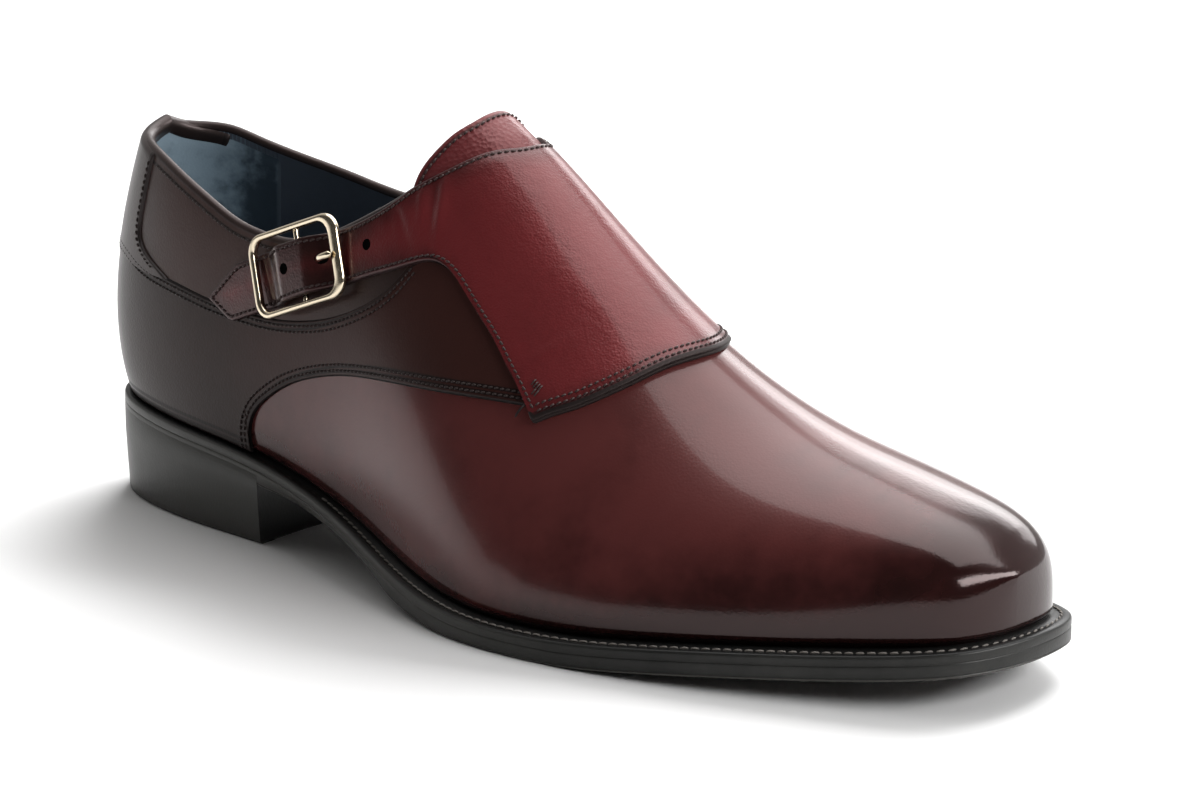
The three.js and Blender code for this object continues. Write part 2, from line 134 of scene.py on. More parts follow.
def ramp(value, amount, low, high):
    # an amount times the smooth step
    return amount * smoothstep(value, low, high)


def angleAt(share):
    # angle of a half circle whose shadow on the length is the share: fine steps at both ends
    return np.arccos(1 - 2 * np.clip(share, 0, 1))


def shareAt(angle):
    # (1 - cosine) / 2, the other way round
    return (1 - np.cos(angle)) / 2


def angleOfX(x):
    # angle of the share of the sole's length that lies behind x
    return angleAt((x - last["heelEdge"]) / last["soleLength"])


soleCurve = curveThrough(angleAt(soleRows[:, 0]), soleRows[:, 1:])
formCurve = curveThrough(angleAt(formRows[:, 0]), formRows[:, 1:])
rimCurve = curveThrough(rimRows[:, 0], rimRows[:, 1])
backCurve = curveThrough(backRows[:, 0], backRows[:, 1])


def rimHeight(x):
    # height of the welt's top, its curve held beyond both ends
    return rimCurve(np.clip(x, -150, 150))


def soleEdge(angle, side, inset):
    # outline point (side -1 outer, 1 inner), moved inwards along the outline's own normal
    step = 1e-3

    def raw(t):
        half = soleCurve(t)[..., 0 if side < 0 else 1]
        x = last["heelEdge"] + last["soleLength"] * shareAt(t)
        return x, side * last["ballWidth"] * half

    angle = np.asarray(angle, float)
    x, y = raw(angle)
    (xa, ya), (xb, yb) = raw(angle - step), raw(angle + step)
    length = np.hypot(xb - xa, yb - ya)
    movedX = x + side * (yb - ya) / length * inset
    movedY = y - side * (xb - xa) / length * inset
    first, final = angle < step, angle > math.pi - step
    movedX = np.where(first, x + inset, np.where(final, x - inset, movedX))
    movedY = np.where(first, 0, np.where(final, y, movedY))
    return movedX, movedY


def formPoint(angle, turn):
    # cubic from the feather edge over bulge and shoulder to the ridge, on each side
    angle, turn = np.broadcast_arrays(np.asarray(angle, float), np.asarray(turn, float))
    sole, form = soleCurve(angle), formCurve(angle)
    edges = [soleEdge(angle, -1, sole[..., 2]), soleEdge(angle, 1, sole[..., 3])]
    outer = turn <= 0.5
    side = np.where(outer, -1, 1)
    u = np.where(outer, 2 * turn, 2 * (1 - turn))
    edgeX = np.where(outer, edges[0][0], edges[1][0])
    edgeY = np.where(outer, edges[0][1], edges[1][1])
    bulge = side * np.where(outer, form[..., 2], form[..., 3])
    shoulder = np.where(outer, form[..., 5], form[..., 6])
    foot = rimHeight(edgeX) + last["gap"]
    ridge, ridgeY = last["instepHeight"] * form[..., 0], form[..., 1]
    low, lowMid = (1 - u) ** 3, 3 * u * (1 - u) ** 2
    highMid, high = 3 * u * u * (1 - u), u**3
    shoulderY = ridgeY + shoulder * (edgeY - ridgeY)
    y = low * edgeY + lowMid * (edgeY + bulge) + highMid * shoulderY + high * ridgeY
    z = low * foot + lowMid * (foot + form[..., 4] * (ridge - foot)) + (highMid + high) * ridge
    fade = smoothstep(1 - shareAt(angle) / last["backFade"], 0, 1)
    lean = backCurve(np.clip(z, 24, 130)) * fade
    middleX = (edges[0][0] + edges[1][0]) / 2
    x = (low + lowMid) * edgeX + (highMid + high) * middleX + lean
    return np.stack([x, y, z], -1)



def unit(vector):
    # vector over its own length
    return vector / np.maximum(np.linalg.norm(vector, axis=-1, keepdims=True), 1e-12)


def formNormal(angle, turn):
    # outward normal: step along the shoe crossed with step up the section
    step = 2e-3
    angle, turn = np.broadcast_arrays(np.asarray(angle, float), np.asarray(turn, float))
    up = formPoint(angle, np.minimum(turn + step, 1)) - formPoint(angle, np.maximum(turn - step, 0))
    inside = np.clip(angle, step, math.pi - step)
    along = formPoint(inside + step, turn) - formPoint(inside - step, turn)
    atEnd = (angle < step) | (angle > math.pi - step)
    across = np.where(turn <= 0.5, -1, 1) * np.where(angle < 1, 1, -1)
    flat = np.stack([0 * across, across, 0 * across], -1)
    normal = unit(np.cross(np.where(atEnd[..., None], flat, along), up))
    normal[..., 1] = np.where(atEnd, 0, normal[..., 1])
    return unit(normal)


def onForm(params):
    # form point of (angle, turn) pairs
    return formPoint(params[..., 0], params[..., 1])


def outOf(params):
    # outward normal of (angle, turn) pairs
    return formNormal(params[..., 0], params[..., 1])


def skin(params, offset):
    # point of the form moved out along its normal
    return onForm(params) + outOf(params) * np.asarray(offset)[..., None]


def settled(rows, offset, axis, span, turnOf):
    # angle and turn of points given by x and one more coordinate, on a layer with an offset:
    # halving on the turn for that coordinate, then the station moved by what x is out
    rows = np.asarray(rows, float)
    goalX, goal = rows[:, 0], rows[:, 1]
    angle = angleOfX(goalX)
    for again in range(8):
        low, high = np.full(len(rows), span[0]), np.full(len(rows), span[1])
        for half in range(20):
            middle = (low + high) / 2
            turn = turnOf(middle)
            below = formPoint(angle, turn)[:, axis] < goal
            low, high = np.where(below, middle, low), np.where(below, high, middle)
        x = formPoint(angle, turn)[:, 0]
        angle = angleAt(shareAt(angle) + (goalX - x) / last["soleLength"])
        normal = formNormal(angle, turn)
        goalX, goal = rows[:, 0] - offset * normal[:, 0], rows[:, 1] - offset * normal[:, axis]
    return np.stack([angle, turn], -1)


def findOn(side, rows, offset=0.0):
    # points given as x and z in side view
    return settled(rows, offset, 2, (0.0, 1.0), lambda m: m / 2 if side < 0 else 1 - m / 2)


def findOver(rows, offset=0.0):
    # points given as x and y seen from above, near the ridge
    return settled(rows, offset, 1, (0.12, 0.88), lambda m: m)


def run(points):
    # running length along rows of points
    hops = np.linalg.norm(np.diff(points, axis=0), axis=-1)
    return np.concatenate([[0], np.cumsum(hops)])


def pick(where, keys, values):
    # every column of the values, read straight between its keys
    return np.stack([np.interp(where, keys, column) for column in values.T], -1)


def track(*legs):
    # legs of (angle, turn) points, each a smooth curve, joined and run by their true length
    dense = []
    for leg in legs:
        leg = np.asarray(leg, float)
        key = run(onForm(leg))
        dense.append(curveThrough(key, leg)(np.linspace(0, key[-1], 240)))
    dense = np.concatenate(dense)
    length = run(onForm(dense))

    def at(share):
        return pick(np.asarray(share) * length[-1], length, dense)

    at.length = length[-1]
    return at


def shifted(params, inset):
    # (angle, turn) points of a line moved over the form to the left of its run: half the way
    # twice, the step solved from what a little angle and a little turn do to the place
    step = 1e-3
    for half in range(2):
        places = onForm(params)
        sideways = np.cross(outOf(params), unit(np.gradient(places, axis=0))) * (inset / 2)
        byAngle = (onForm(params + [step, 0]) - places) / step
        byTurn = (onForm(params + [0, step]) - places) / step
        aa, bb, ab = (byAngle**2).sum(-1), (byTurn**2).sum(-1), (byAngle * byTurn).sum(-1)
        ga, gb = (byAngle * sideways).sum(-1), (byTurn * sideways).sum(-1)
        moved = np.stack([ga * bb - gb * ab, gb * aa - ga * ab], -1)
        params = params + moved / (aa * bb - ab**2)[:, None]
    return params


def between(first, second, count):
    # rows of points straight from the first row to the second
    share = np.linspace(0, 1, count).reshape(-1, *[1] * np.ndim(first))
    return first * (1 - share) + second * share


def circle(count):
    # even angles all round
    return np.linspace(0, 2 * math.pi, count + 1)[:-1]


def makePiece(name, points, material, outward, burn=None, edge=9, closed=(False, False)):
    # grid of points as a mesh: one quad for each cell, wrapped where the grid is closed and
    # turned over if its faces look against the outward side; the masks are left off metal
    rows, columns = points.shape[:2]
    index = np.arange(rows * columns).reshape(rows, columns)
    if closed[0]:
        index = np.vstack([index, index[:1]])
    if closed[1]:
        index = np.hstack([index, index[:, :1]])
    a, b = index[:-1, :-1].ravel(), index[1:, :-1].ravel()
    c, d = index[1:, 1:].ravel(), index[:-1, 1:].ravel()
    flat = points.reshape(-1, 3)
    normal = np.cross(flat[c] - flat[a], flat[d] - flat[b])
    if (normal * np.broadcast_to(outward, points.shape).reshape(-1, 3)[a]).sum() < 0:
        a, b, c, d = d, c, b, a
    masks = {} if burn is None else {"burn": burn, "edge": edge}
    return meshOf(name, flat, np.stack([a, b, c, d], -1), material,
                  {key: np.broadcast_to(mask, (rows, columns)) for key, mask in masks.items()})


def meshOf(name, flat, quads, material, masks):
    # points in metres about the box's middle, four corners to a face
    mesh = bpy.data.meshes.new(name)
    mesh.vertices.add(len(flat))
    mesh.vertices.foreach_set("co", ((flat + last["shift"]) * 0.001).astype(np.float32).ravel())
    mesh.loops.add(quads.size)
    mesh.loops.foreach_set("vertex_index", quads.astype(np.int32).ravel())
    mesh.polygons.add(len(quads))
    mesh.polygons.foreach_set("loop_start", np.arange(0, quads.size, 4, dtype=np.int32))
    mesh.polygons.foreach_set("use_smooth", np.ones(len(quads), bool))
    for key, values in masks.items():
        attribute = mesh.attributes.new(key, "FLOAT", "POINT")
        attribute.data.foreach_set("value", np.asarray(values, np.float32).ravel())
    mesh.update(calc_edges=True)
    mesh.validate()
    mesh.materials.append(material)
    piece = bpy.data.objects.new(name, mesh)
    bpy.context.scene.collection.objects.link(piece)
    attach(piece, "root")
    return piece


# Panels: rows near their edges at these distances, drawn in where the panel is narrower
panel = {
    "steps": np.array([0, 0.06, 0.2, 0.45, 0.8, 1.2, 1.7, 2.4]),
    "least": 2.6,  # times the last step, the width from which the steps stay whole
    "round": 0.6,
}


def spread(bottom, top, columns, rows):
    # grid between two tracks: fine rows near both edges at fixed distances, even ones between
    s = np.linspace(0, 1, columns) if np.ndim(columns) == 0 else columns
    low, high = bottom(s), top(s)
    trial = between(low, high, 9)
    width = np.linalg.norm(np.diff(onForm(trial), axis=0), axis=-1).sum(0)
    shrink = np.minimum(1, width / (panel["least"] * panel["steps"][-1]))
    near = panel["steps"][:, None] * shrink / width
    even = near[-1] + (1 - 2 * near[-1]) * np.linspace(0, 1, rows)[1:-1, None]
    t = np.concatenate([near, even, 1 - near[::-1]])
    params = low + (high - low) * t[..., None]
    return {"params": params, "low": t * width, "high": (1 - t) * width, "s": s + 0 * t}


def rounded(distance, radius):
    # quarter round: 0 at the edge, 1 from the radius inwards
    t = np.clip(distance / radius, 0, 1)
    return np.sqrt(1 - (1 - t) ** 2)


# Thread: shares of a stitch's length, girth and dip at its five rings of six points
thread = {
    "stations": np.array([-0.5, -0.38, 0, 0.38, 0.5]),
    "girths": np.array([0.25, 0.8, 1, 0.8, 0.25]),
    "dips": np.array([-0.22, 0.02, 0.1, 0.02, -0.22]),
    "slant": 0.22,
    "burn": 0.4,
}


def stitchBars(name, centre, along, normal, material, slot, long, thick, lift):
    # short rounded bars: rings drawn in and dipped at both ends, the ends closed by two quads
    sideways = unit(np.cross(normal, along))
    slant = thread["slant"]
    along, sideways = unit(along + sideways * slant), unit(sideways - along * slant)
    girth = (thread["girths"] * thick / 2)[:, None, None]
    turns = circle(6)[None, :, None]
    rise = np.sin(turns) * girth + (thread["dips"] + lift)[:, None, None]
    points = centre[:, None, None] + along[:, None, None] * (thread["stations"] * long)[:, None, None]
    points = points + sideways[:, None, None] * np.cos(turns) * girth + normal[:, None, None] * rise
    index = np.arange(len(centre) * 30).reshape(-1, 5, 6)
    around = np.concatenate([index, index[:, :, :1]], 2)
    corners = [around[:, :-1, :-1], around[:, 1:, :-1], around[:, 1:, 1:], around[:, :-1, 1:]]
    caps = [index[:, ring, four] for ring, fours in ((0, ([0, 1, 2, 3], [3, 4, 5, 0])),
                                                     (4, ([3, 2, 1, 0], [0, 5, 4, 3])))
            for four in fours]
    quads = np.concatenate([np.stack(corners, -1).reshape(-1, 4), *caps])
    flat = points.reshape(-1, 3)
    whole = np.ones(len(flat))
    meshOf(name, flat, quads, material, {"burn": thread["burn"] * whole, "edge": 9 * whole})


def evenly(length, pitch):
    # middles of the equal steps, as near to the pitch as they go, along a running length
    count = max(int(length[-1] / pitch), 1)
    return (np.arange(count) + 0.5) * length[-1] / count


def fill(tree, inputs, values):
    # every named socket gets its own constant, or a link where the value is another socket
    for label, value in values.items():
        if isinstance(value, bpy.types.NodeSocket):
            tree.links.new(value, inputs[label])
        elif value is not None:
            inputs[label].default_value = value


def shaderGroup(name, inputs, outputs, build):
    # node group whose plain numbers are floats and whose empty ones are colours
    group = bpy.data.node_groups.new(name, "ShaderNodeTree")
    for label, value in inputs.items():
        kind = "NodeSocketColor" if value is None else "NodeSocketFloat"
        socket = group.interface.new_socket(label, in_out="INPUT", socket_type=kind)
        if value is not None:
            socket.default_value = value
    for label, kind in outputs.items():
        group.interface.new_socket(label, in_out="OUTPUT", socket_type=kind)
    given, made = group.nodes.new("NodeGroupInput"), group.nodes.new("NodeGroupOutput")
    build(group, given.outputs, made.inputs)
    return group


def groupNode(tree, group, values):
    # a group in use, its sockets filled
    node = tree.nodes.new("ShaderNodeGroup")
    node.node_tree = group
    fill(tree, node.inputs, values)
    return node.outputs


def objectPlace(tree):
    # place on the piece, in metres
    return tree.nodes.new("ShaderNodeTexCoord").outputs["Object"]


def mathNode(tree, kind, first, second=None):
    # one sum, difference, product or the like of two values
    node = tree.nodes.new("ShaderNodeMath")
    node.operation = kind
    fill(tree, node.inputs, {0: first, 1: second})
    return node.outputs[0]


def noiseNode(tree, where, scale, detail, rough=0.5):
    # layered noise, about 0.5 in the middle
    node = tree.nodes.new("ShaderNodeTexNoise")
    fill(tree, node.inputs, {"Vector": where, "Scale": scale, "Detail": detail, "Roughness": rough})
    return node.outputs["Fac"]


def mixNode(tree, factor, first, second):
    # first times (1 - factor) and second times the factor
    node = tree.nodes.new("ShaderNodeMix")
    node.data_type = "RGBA"
    fill(tree, node.inputs, {0: factor, 6: first, 7: second})
    return node.outputs[2]


def rangeNode(tree, value, low, high, toLow=0.0, toHigh=1.0):
    # smooth step from low to high, brought to a range of its own
    node = tree.nodes.new("ShaderNodeMapRange")
    node.interpolation_type = "SMOOTHSTEP"
    fill(tree, node.inputs, {0: value, 1: low, 2: high, 3: toLow, 4: toHigh})
    return node.outputs[0]


def centred(tree, noise, amount):
    # noise less a half, times an amount
    return mathNode(tree, "MULTIPLY", mathNode(tree, "SUBTRACT", noise, 0.5), amount)


# Dye and painted shade: scale, detail and roughness of the noises, then the darkening by distance in
# millimetres from the cut edge and from the stitch rows, the rows' band partly a burnished channel and
# partly painted shade of the stitch groove
dyeAndShade = {
    "clouds": (34.0, 4.0, 0.55),
    "streaks": (190.0, 3.0, 0.6),
    "cutEdge": (0.25, 1.1, 1.0, 0.0),
    "stitchRow": (0.25, 0.75, 0.85, 0.0),
    "mottle": 0.05,
    "dull": 0.18,
}


def buildPatinaAndShade(tree, given, made):
    # bright to deep colour by the burn mask plus clouds and streaks (dye, and on some pieces painted
    # shade), dark along the cut edge and the stitch rows (partly burnished, partly painted shade of the
    # groove); roughness adds mottle and dull edges and takes off polish where deep
    where = objectPlace(tree)
    clouds, streaks = noiseNode(tree, where, *dyeAndShade["clouds"]), noiseNode(tree, where, *dyeAndShade["streaks"])
    burn = mathNode(tree, "ADD", given["Burn"], centred(tree, clouds, given["Clouds"]))
    burn = mathNode(tree, "ADD", burn, centred(tree, streaks, given["Streaks"]))
    factor = rangeNode(tree, burn, 0.0, 1.0)
    rim = rangeNode(tree, given["Edge"], *dyeAndShade["cutEdge"])
    # dark band along each stitch row: partly burnished, partly painted shade of the stitch groove
    for row in ("Row", "Second"):
        away = mathNode(tree, "ABSOLUTE", mathNode(tree, "SUBTRACT", given["Edge"], given[row]))
        rim = mathNode(tree, "MAXIMUM", rim, rangeNode(tree, away, *dyeAndShade["stitchRow"]))
    colour = mixNode(tree, factor, given["Bright"], given["Deep"])
    rough = mathNode(tree, "ADD", given["Rough"], centred(tree, streaks, dyeAndShade["mottle"]))
    rough = mathNode(tree, "ADD", rough, mathNode(tree, "MULTIPLY", rim, dyeAndShade["dull"]))
    polish = mathNode(tree, "MULTIPLY", factor, given["Polish"])
    fill(tree, made, {"Color": mixNode(tree, rim, colour, given["CutAndCreviceShade"]),
                      "Roughness": mathNode(tree, "SUBTRACT", rough, polish)})


patinaAndShade = shaderGroup(
    "patinaAndShade",
    {"Burn": 0.5, "Edge": 5.0, "Clouds": 0.5, "Rough": 0.3, "Row": -5.0, "Second": -5.0,
     "Polish": 0.0, "Streaks": 0.16, "Bright": None, "Deep": None, "CutAndCreviceShade": None},
    {"Color": "NodeSocketColor", "Roughness": "NodeSocketFloat"}, buildPatinaAndShade)


def buildGrain(tree, given, made):
    # leather grain: cells by their share, a quarter of fine noise and broad noise by the waves
    where = objectPlace(tree)
    cells = tree.nodes.new("ShaderNodeTexVoronoi")
    fill(tree, cells.inputs, {"Vector": where, "Scale": given["Scale"]})
    fine = mathNode(tree, "MULTIPLY", noiseNode(tree, where, 2600.0, 2.0), 0.25)
    broad = mathNode(tree, "MULTIPLY", noiseNode(tree, where, given["Broad"], 3.0), given["Waves"])
    height = mathNode(tree, "MULTIPLY", cells.outputs["Distance"], given["Cells"])
    height = mathNode(tree, "ADD", mathNode(tree, "ADD", height, fine), broad)
    fill(tree, made, {"Height": height})


grain = shaderGroup("leather_grain", {"Scale": 1400.0, "Cells": 0.6, "Broad": 160.0, "Waves": 1.0},
                    {"Height": "NodeSocketFloat"}, buildGrain)


def attributeNode(tree, name):
    # mask stored on the mesh
    node = tree.nodes.new("ShaderNodeAttribute")
    node.attribute_name = name
    return node.outputs["Fac"]


black, neutral = (0.005, 0.0045, 0.0045), (1, 1, 1)
redBlack = (0.007, 0.003, 0.003)
plainLeather = {
    "rough": 0.3, "clouds": 0.5, "streaks": 0.2, "polish": 0.0, "rows": (-5.0, -5.0),
    "scale": 1400.0, "cells": 0.6, "broad": 160.0, "waves": 1.0, "bump": 0.1, "depth": 0.0004,
    "coat": 0.1, "coatRough": 0.12, "specular": 0.35, "tint": (1, 0.8, 0.78),
}


def leather(name, bright, deep, cutAndCreviceShade=black, **own):
    # patina and painted shade for colour and roughness, grain for bump, a thin coat; plain values
    # unless given
    look = {**plainLeather, **own}
    material = bpy.data.materials.new(name)
    material.use_nodes = True
    tree = material.node_tree
    made = groupNode(tree, patinaAndShade, {
        "Burn": attributeNode(tree, "burn"), "Edge": attributeNode(tree, "edge"),
        "Clouds": look["clouds"], "Rough": look["rough"], "Polish": look["polish"],
        "Streaks": look["streaks"], "Row": look["rows"][0], "Second": look["rows"][1],
        "Bright": (*bright, 1), "Deep": (*deep, 1), "CutAndCreviceShade": (*cutAndCreviceShade, 1)})
    texture = groupNode(tree, grain, {"Scale": look["scale"], "Cells": look["cells"],
                                      "Broad": look["broad"], "Waves": look["waves"]})
    raised = tree.nodes.new("ShaderNodeBump")
    fill(tree, raised.inputs, {"Strength": look["bump"], "Distance": look["depth"],
                               "Height": texture["Height"]})
    fill(tree, tree.nodes["Principled BSDF"].inputs, {
        "Base Color": made["Color"], "Roughness": made["Roughness"],
        "Normal": raised.outputs["Normal"], "Coat Weight": look["coat"],
        "Coat Roughness": look["coatRough"], "Specular IOR Level": look["specular"],
        "Specular Tint": (*look["tint"], 1)})
    return material


# the vamp's cut colour shows only in its lowest band along the welt: painted shade of the crevice
vampLeather = leather(
    "vamp_leather", (0.088, 0.022, 0.021), (0.013, 0.004, 0.0038), (0.005, 0.0025, 0.0025),
    rough=0.235, coat=0.28, coatRough=0.08, specular=0.25, tint=(1, 0.72, 0.7), bump=0.08,
    polish=0.1, clouds=1.35)
quarterLeather = leather(
    "quarter_leather", (0.034, 0.0125, 0.0105), (0.0125, 0.0068, 0.0056),
    rough=0.32, coat=0.08, coatRough=0.16, specular=0.13, rows=(1.5, 3.0))
collarLeather = leather(
    "collar_leather", (0.036, 0.0165, 0.0138), (0.014, 0.009, 0.008),
    rough=0.34, coat=0.06, coatRough=0.2, specular=0.22, rows=(2.7, -5.0))
flapLeather = leather(
    "flap_leather", (0.118, 0.0155, 0.0175), (0.0145, 0.0054, 0.0048), redBlack,
    coat=0.26, coatRough=0.13, waves=1.9, cells=0.8, scale=1700.0, broad=380.0, bump=0.19,
    specular=0.42, tint=(1, 0.48, 0.48), clouds=1.3, rows=(1.3, -5.0))
stripLeather = leather(
    "strip_leather", (0.018, 0.012, 0.011), (0.009, 0.007, 0.0065), rough=0.4, rows=(1.3, -5.0))
tongueLeather = leather(
    "tongue_leather", (0.12, 0.02, 0.022), (0.024, 0.007, 0.007), redBlack, rough=0.34,
    waves=2.0, cells=1.2, scale=900.0, bump=0.25, specular=0.5, tint=(1, 0.5, 0.5), rows=(2.3, -5.0))
liningLeather = leather(
    "lining_leather", (0.08, 0.095, 0.12), (0.04, 0.05, 0.065), (0.05, 0.06, 0.07),
    rough=0.45, coat=0.0, tint=neutral)
gripLeather = leather(
    "grip_leather", (0.24, 0.32, 0.38), (0.04, 0.06, 0.08), (0.06, 0.08, 0.1),
    rough=0.85, coat=0.0, clouds=2.2, streaks=1.6, specular=0.2, tint=neutral)
toplineLeather = leather(
    "topline_leather", (0.024, 0.015, 0.0135), (0.013, 0.009, 0.0085),
    rough=0.4, coat=0.05, specular=0.25)
sockLeather = leather(
    "sock_leather", (0.08, 0.095, 0.12), (0.04, 0.05, 0.065), rough=0.5, coat=0.0, tint=neutral)
treadLeather = leather(
    "tread_leather", (0.02, 0.017, 0.015), (0.01, 0.009, 0.008),
    rough=0.6, coat=0.0, waves=2.0, bump=0.2)
edgePaint = leather(
    "edge_paint", (0.011, 0.008, 0.0075), (0.005, 0.004, 0.004), rough=0.5, coat=0.0, specular=0.22)
# near black: painted shade inside the punched holes
holeShade = leather(
    "hole_shade", (0.0012, 0.001, 0.001), (0.0008, 0.0008, 0.0008), (0.001, 0.001, 0.001),
    rough=0.9, coat=0.0, specular=0.02)
soleLeather = leather(
    "sole_leather", (0.055, 0.054, 0.05), (0.0065, 0.0065, 0.0063),
    rough=0.4, coatRough=0.2, waves=0.8, specular=0.16, tint=neutral)
threadDark = leather(
    "thread_dark", (0.016, 0.012, 0.011), (0.008, 0.0065, 0.006), rough=0.5, coat=0)
threadPale = leather(
    "thread_pale", (0.03, 0.017, 0.0155), (0.012, 0.008, 0.008), rough=0.45, coat=0)
threadWelt = leather(
    "thread_welt", (0.2, 0.18, 0.16), (0.06, 0.055, 0.05), rough=0.6, coat=0, tint=neutral)


def metal(name, colour, rough):
    # metal with faint marks: a tenth darker and a little rougher by the noise
    material = bpy.data.materials.new(name)
    material.use_nodes = True
    tree = material.node_tree
    marks = noiseNode(tree, objectPlace(tree), 420.0, 3.0, 0.6)
    fill(tree, tree.nodes["Principled BSDF"].inputs, {
        "Base Color": mixNode(tree, marks, (*[c * 0.9 for c in colour], 1), (*colour, 1)),
        "Roughness": rangeNode(tree, marks, 0.3, 0.7, rough, rough + 0.08), "Metallic": 1})
    return material


buckleMetal = metal("buckle_metal", (0.8, 0.69, 0.52), 0.12)
print("materials made")

# Lines of the pattern, x and z from the side. Heights of the layers above the form.
outer, inner = -1, 1
layers = {"collar": 0.75, "quarter": 1.15, "strip": 1.45, "flap": 2.4, "flapInner": 1.4, "lining": -2.0}
lines = {
    "toplineOuter": [(-142, 96.3), (-133, 94.7), (-123, 92.9), (-111.8, 89.8), (-98.8, 85.6),
                     (-87.8, 82), (-77.8, 80.4), (-68, 80.2), (-58, 82.2), (-50, 85.4), (-44, 88.4),
                     (-36.5, 92.6), (-30.8, 96.2), (-25.9, 99.8), (-19, 103.6), (-10, 107)],
    "toplineInner": [(-142, 95.9), (-133, 94.2), (-127.4, 92), (-113.8, 88), (-100, 85.4), (-88, 83.4),
                     (-77, 82.3), (-67, 82.6), (-58, 85), (-50, 88.7), (-42.3, 93.2), (-33, 99.4),
                     (-22.7, 104.4), (-12, 107)],
    "seam": [(-146, 69.6), (-139, 68.9), (-132.9, 67.6), (-126, 65.6), (-116, 64.1), (-106.2, 63),
             (-97, 61.8), (-83, 60.8), (-70, 60.8), (-59.4, 62.2), (-49.5, 64.6), (-38.4, 69),
             (-30.8, 73.2), (-25.4, 77.6), (-21, 83)],
    "underFlap": [(-21, 83), (-18, 86), (-8, 86), (4, 79), (16, 69), (27, 60)],
    "vampEdge": [(-80.7, 24), (-81, 27.3), (-79.2, 33.3), (-73.5, 38.9), (-64.8, 44.2), (-54, 48.3),
                 (-42.1, 51.2), (-24.2, 53.6), (-2.8, 55.4), (15.2, 56.3), (29, 56)],
    "strapTop": [(-83.9, 72.8), (-74, 77.1), (-64, 81), (-54, 84.8), (-44, 88.7), (-36.5, 92.6),
                 (-30.8, 96.4), (-25.9, 100.4), (-19.1, 105), (-14.2, 108.3), (-10.2, 110.4)],
    "strapTipTop": [(-94.6, 62.3), (-90.4, 66.5), (-86, 71)],
    "strapTipLow": [(-94.3, 61.9), (-90.2, 59.8), (-86.2, 57.7)],
    "strapLow": [(-84.6, 57.6), (-72, 62.6), (-62, 66.6), (-52, 70.7), (-41.4, 74.9), (-32.9, 78.3),
                 (-23.4, 81.8), (-17, 84.2), (-12.6, 85), (-9, 84.3), (-4.4, 81.8), (0.4, 78.1),
                 (5.9, 73.8), (11.3, 69.5), (16.6, 64.6), (21.8, 59.9), (27.2, 54.6)],
    "frontOuter": [(28.2, 53.8), (31.4, 55.6), (36.7, 58), (41.1, 60.7), (44.6, 63.3)],
    "frontOver": [(48.4, -9.4), (50.3, -1), (49.9, 7)],
    "frontInner": [(43.8, 67), (31.4, 64.3), (23.1, 61.6), (15.5, 57.2), (10.4, 53.2)],
    "innerLow": [(8.6, 52.2), (3.1, 52), (-7.4, 52.8), (-18, 53.4), (-28.4, 53.2)],
    "innerTop": [(-12, 110.2), (-17, 108.9), (-22.7, 106.6), (-33, 101.1), (-42.3, 94.7),
                 (-48.4, 90.6)],
    "innerSeam": [(-48.9, 89.8), (-46, 86.4), (-44.4, 82), (-44.2, 76.2), (-47.4, 69), (-56, 64),
                  (-70, 61.6)],
    "stripFront": [(-126, 92.2), (-127.1, 86), (-128, 80), (-128.7, 75), (-128.2, 71.6), (-125.6, 68.9),
                   (-120, 66.2), (-113, 63.4)],
    "tongue": [(-22, 86), (-25.2, 92), (-27, 97.4), (-27.3, 102.3), (-26.1, 106.5), (-24.2, 110.2),
               (-22.4, 113.2)],
}
# towards the heel the inner lines are the outer ones, run the other way
lines["innerLow"] += lines["vampEdge"][6::-1]
lines["innerSeam"] += lines["seam"][6::-1]


def backPoint(side, height):
    # point of the middle line up the back of the heel, found by halving
    low, high = 0.0, 1.0
    for half in range(30):
        middle = (low + high) / 2
        turn = middle / 2 if side < 0 else 1 - middle / 2
        if formPoint(0.0, turn)[2] < height:
            low = middle
        else:
            high = middle
    return np.array([[0.0, turn]])


def featherLine(side, fromX, toX):
    # the form's lower edge from one x to another
    angle = np.linspace(angleOfX(fromX), angleOfX(toX), 16)
    return np.stack([angle, np.full(16, 0.0 if side < 0 else 1.0)], -1)


def onSide(side, name, offset=0.0):
    # a line of the pattern by its name
    return findOn(side, lines[name], offset)


def pinned(line, pins):
    # the same line run so that each pin's share of the way lands on the pin's own point
    fine = np.linspace(0, 1, 1500)
    places = onForm(line(fine))
    shares = [share for share, spot in pins]
    found = [fine[np.argmin(np.linalg.norm(places - onForm(spot), axis=-1))] for share, spot in pins]
    return lambda s: line(np.interp(s, shares, found))


# Soft troughs (or ridges, where the depth is negative): place, slant, length, width, depth
creases = {
    "vamp": [(40, -40, 30, 1.2, 14, 5, 0.25), (62, -36, 32, 1.3, 12, 5, 0.2),
             (26, -42, 28, 1.0, 12, 4, 0.2)],
    "flap": [(-19.5, -23, 99, 1.9, 6.5, 1.1, 0.8), (-16.2, -24.5, 97, 1.85, 7.5, 1.2, -0.5),
             (-22.5, -23.5, 98.5, 1.9, 6, 1.2, -0.45), (-27, -27.8, 92, 2.3, 7, 1.5, 0.5),
             (-31, -27, 93, 2.2, 5, 1.4, 0.35), (24, -24, 67, 0.7, 4, 1.3, -0.3),
             (0, -16.5, 98, 2.4, 17, 6.5, -0.9), (22, -18, 80, 2.45, 17, 6, -0.9),
             (2, -18, 96, 2.2, 16, 3.5, 0.16), (12, -16, 90, 2.35, 14, 3, 0.14),
             (20, -22, 78, 2.5, 10, 2.6, 0.14), (30, -20, 72, 2.4, 7, 2.2, 0.15),
             (-8, -24, 92, 2.4, 10, 2.6, 0.14)],
}


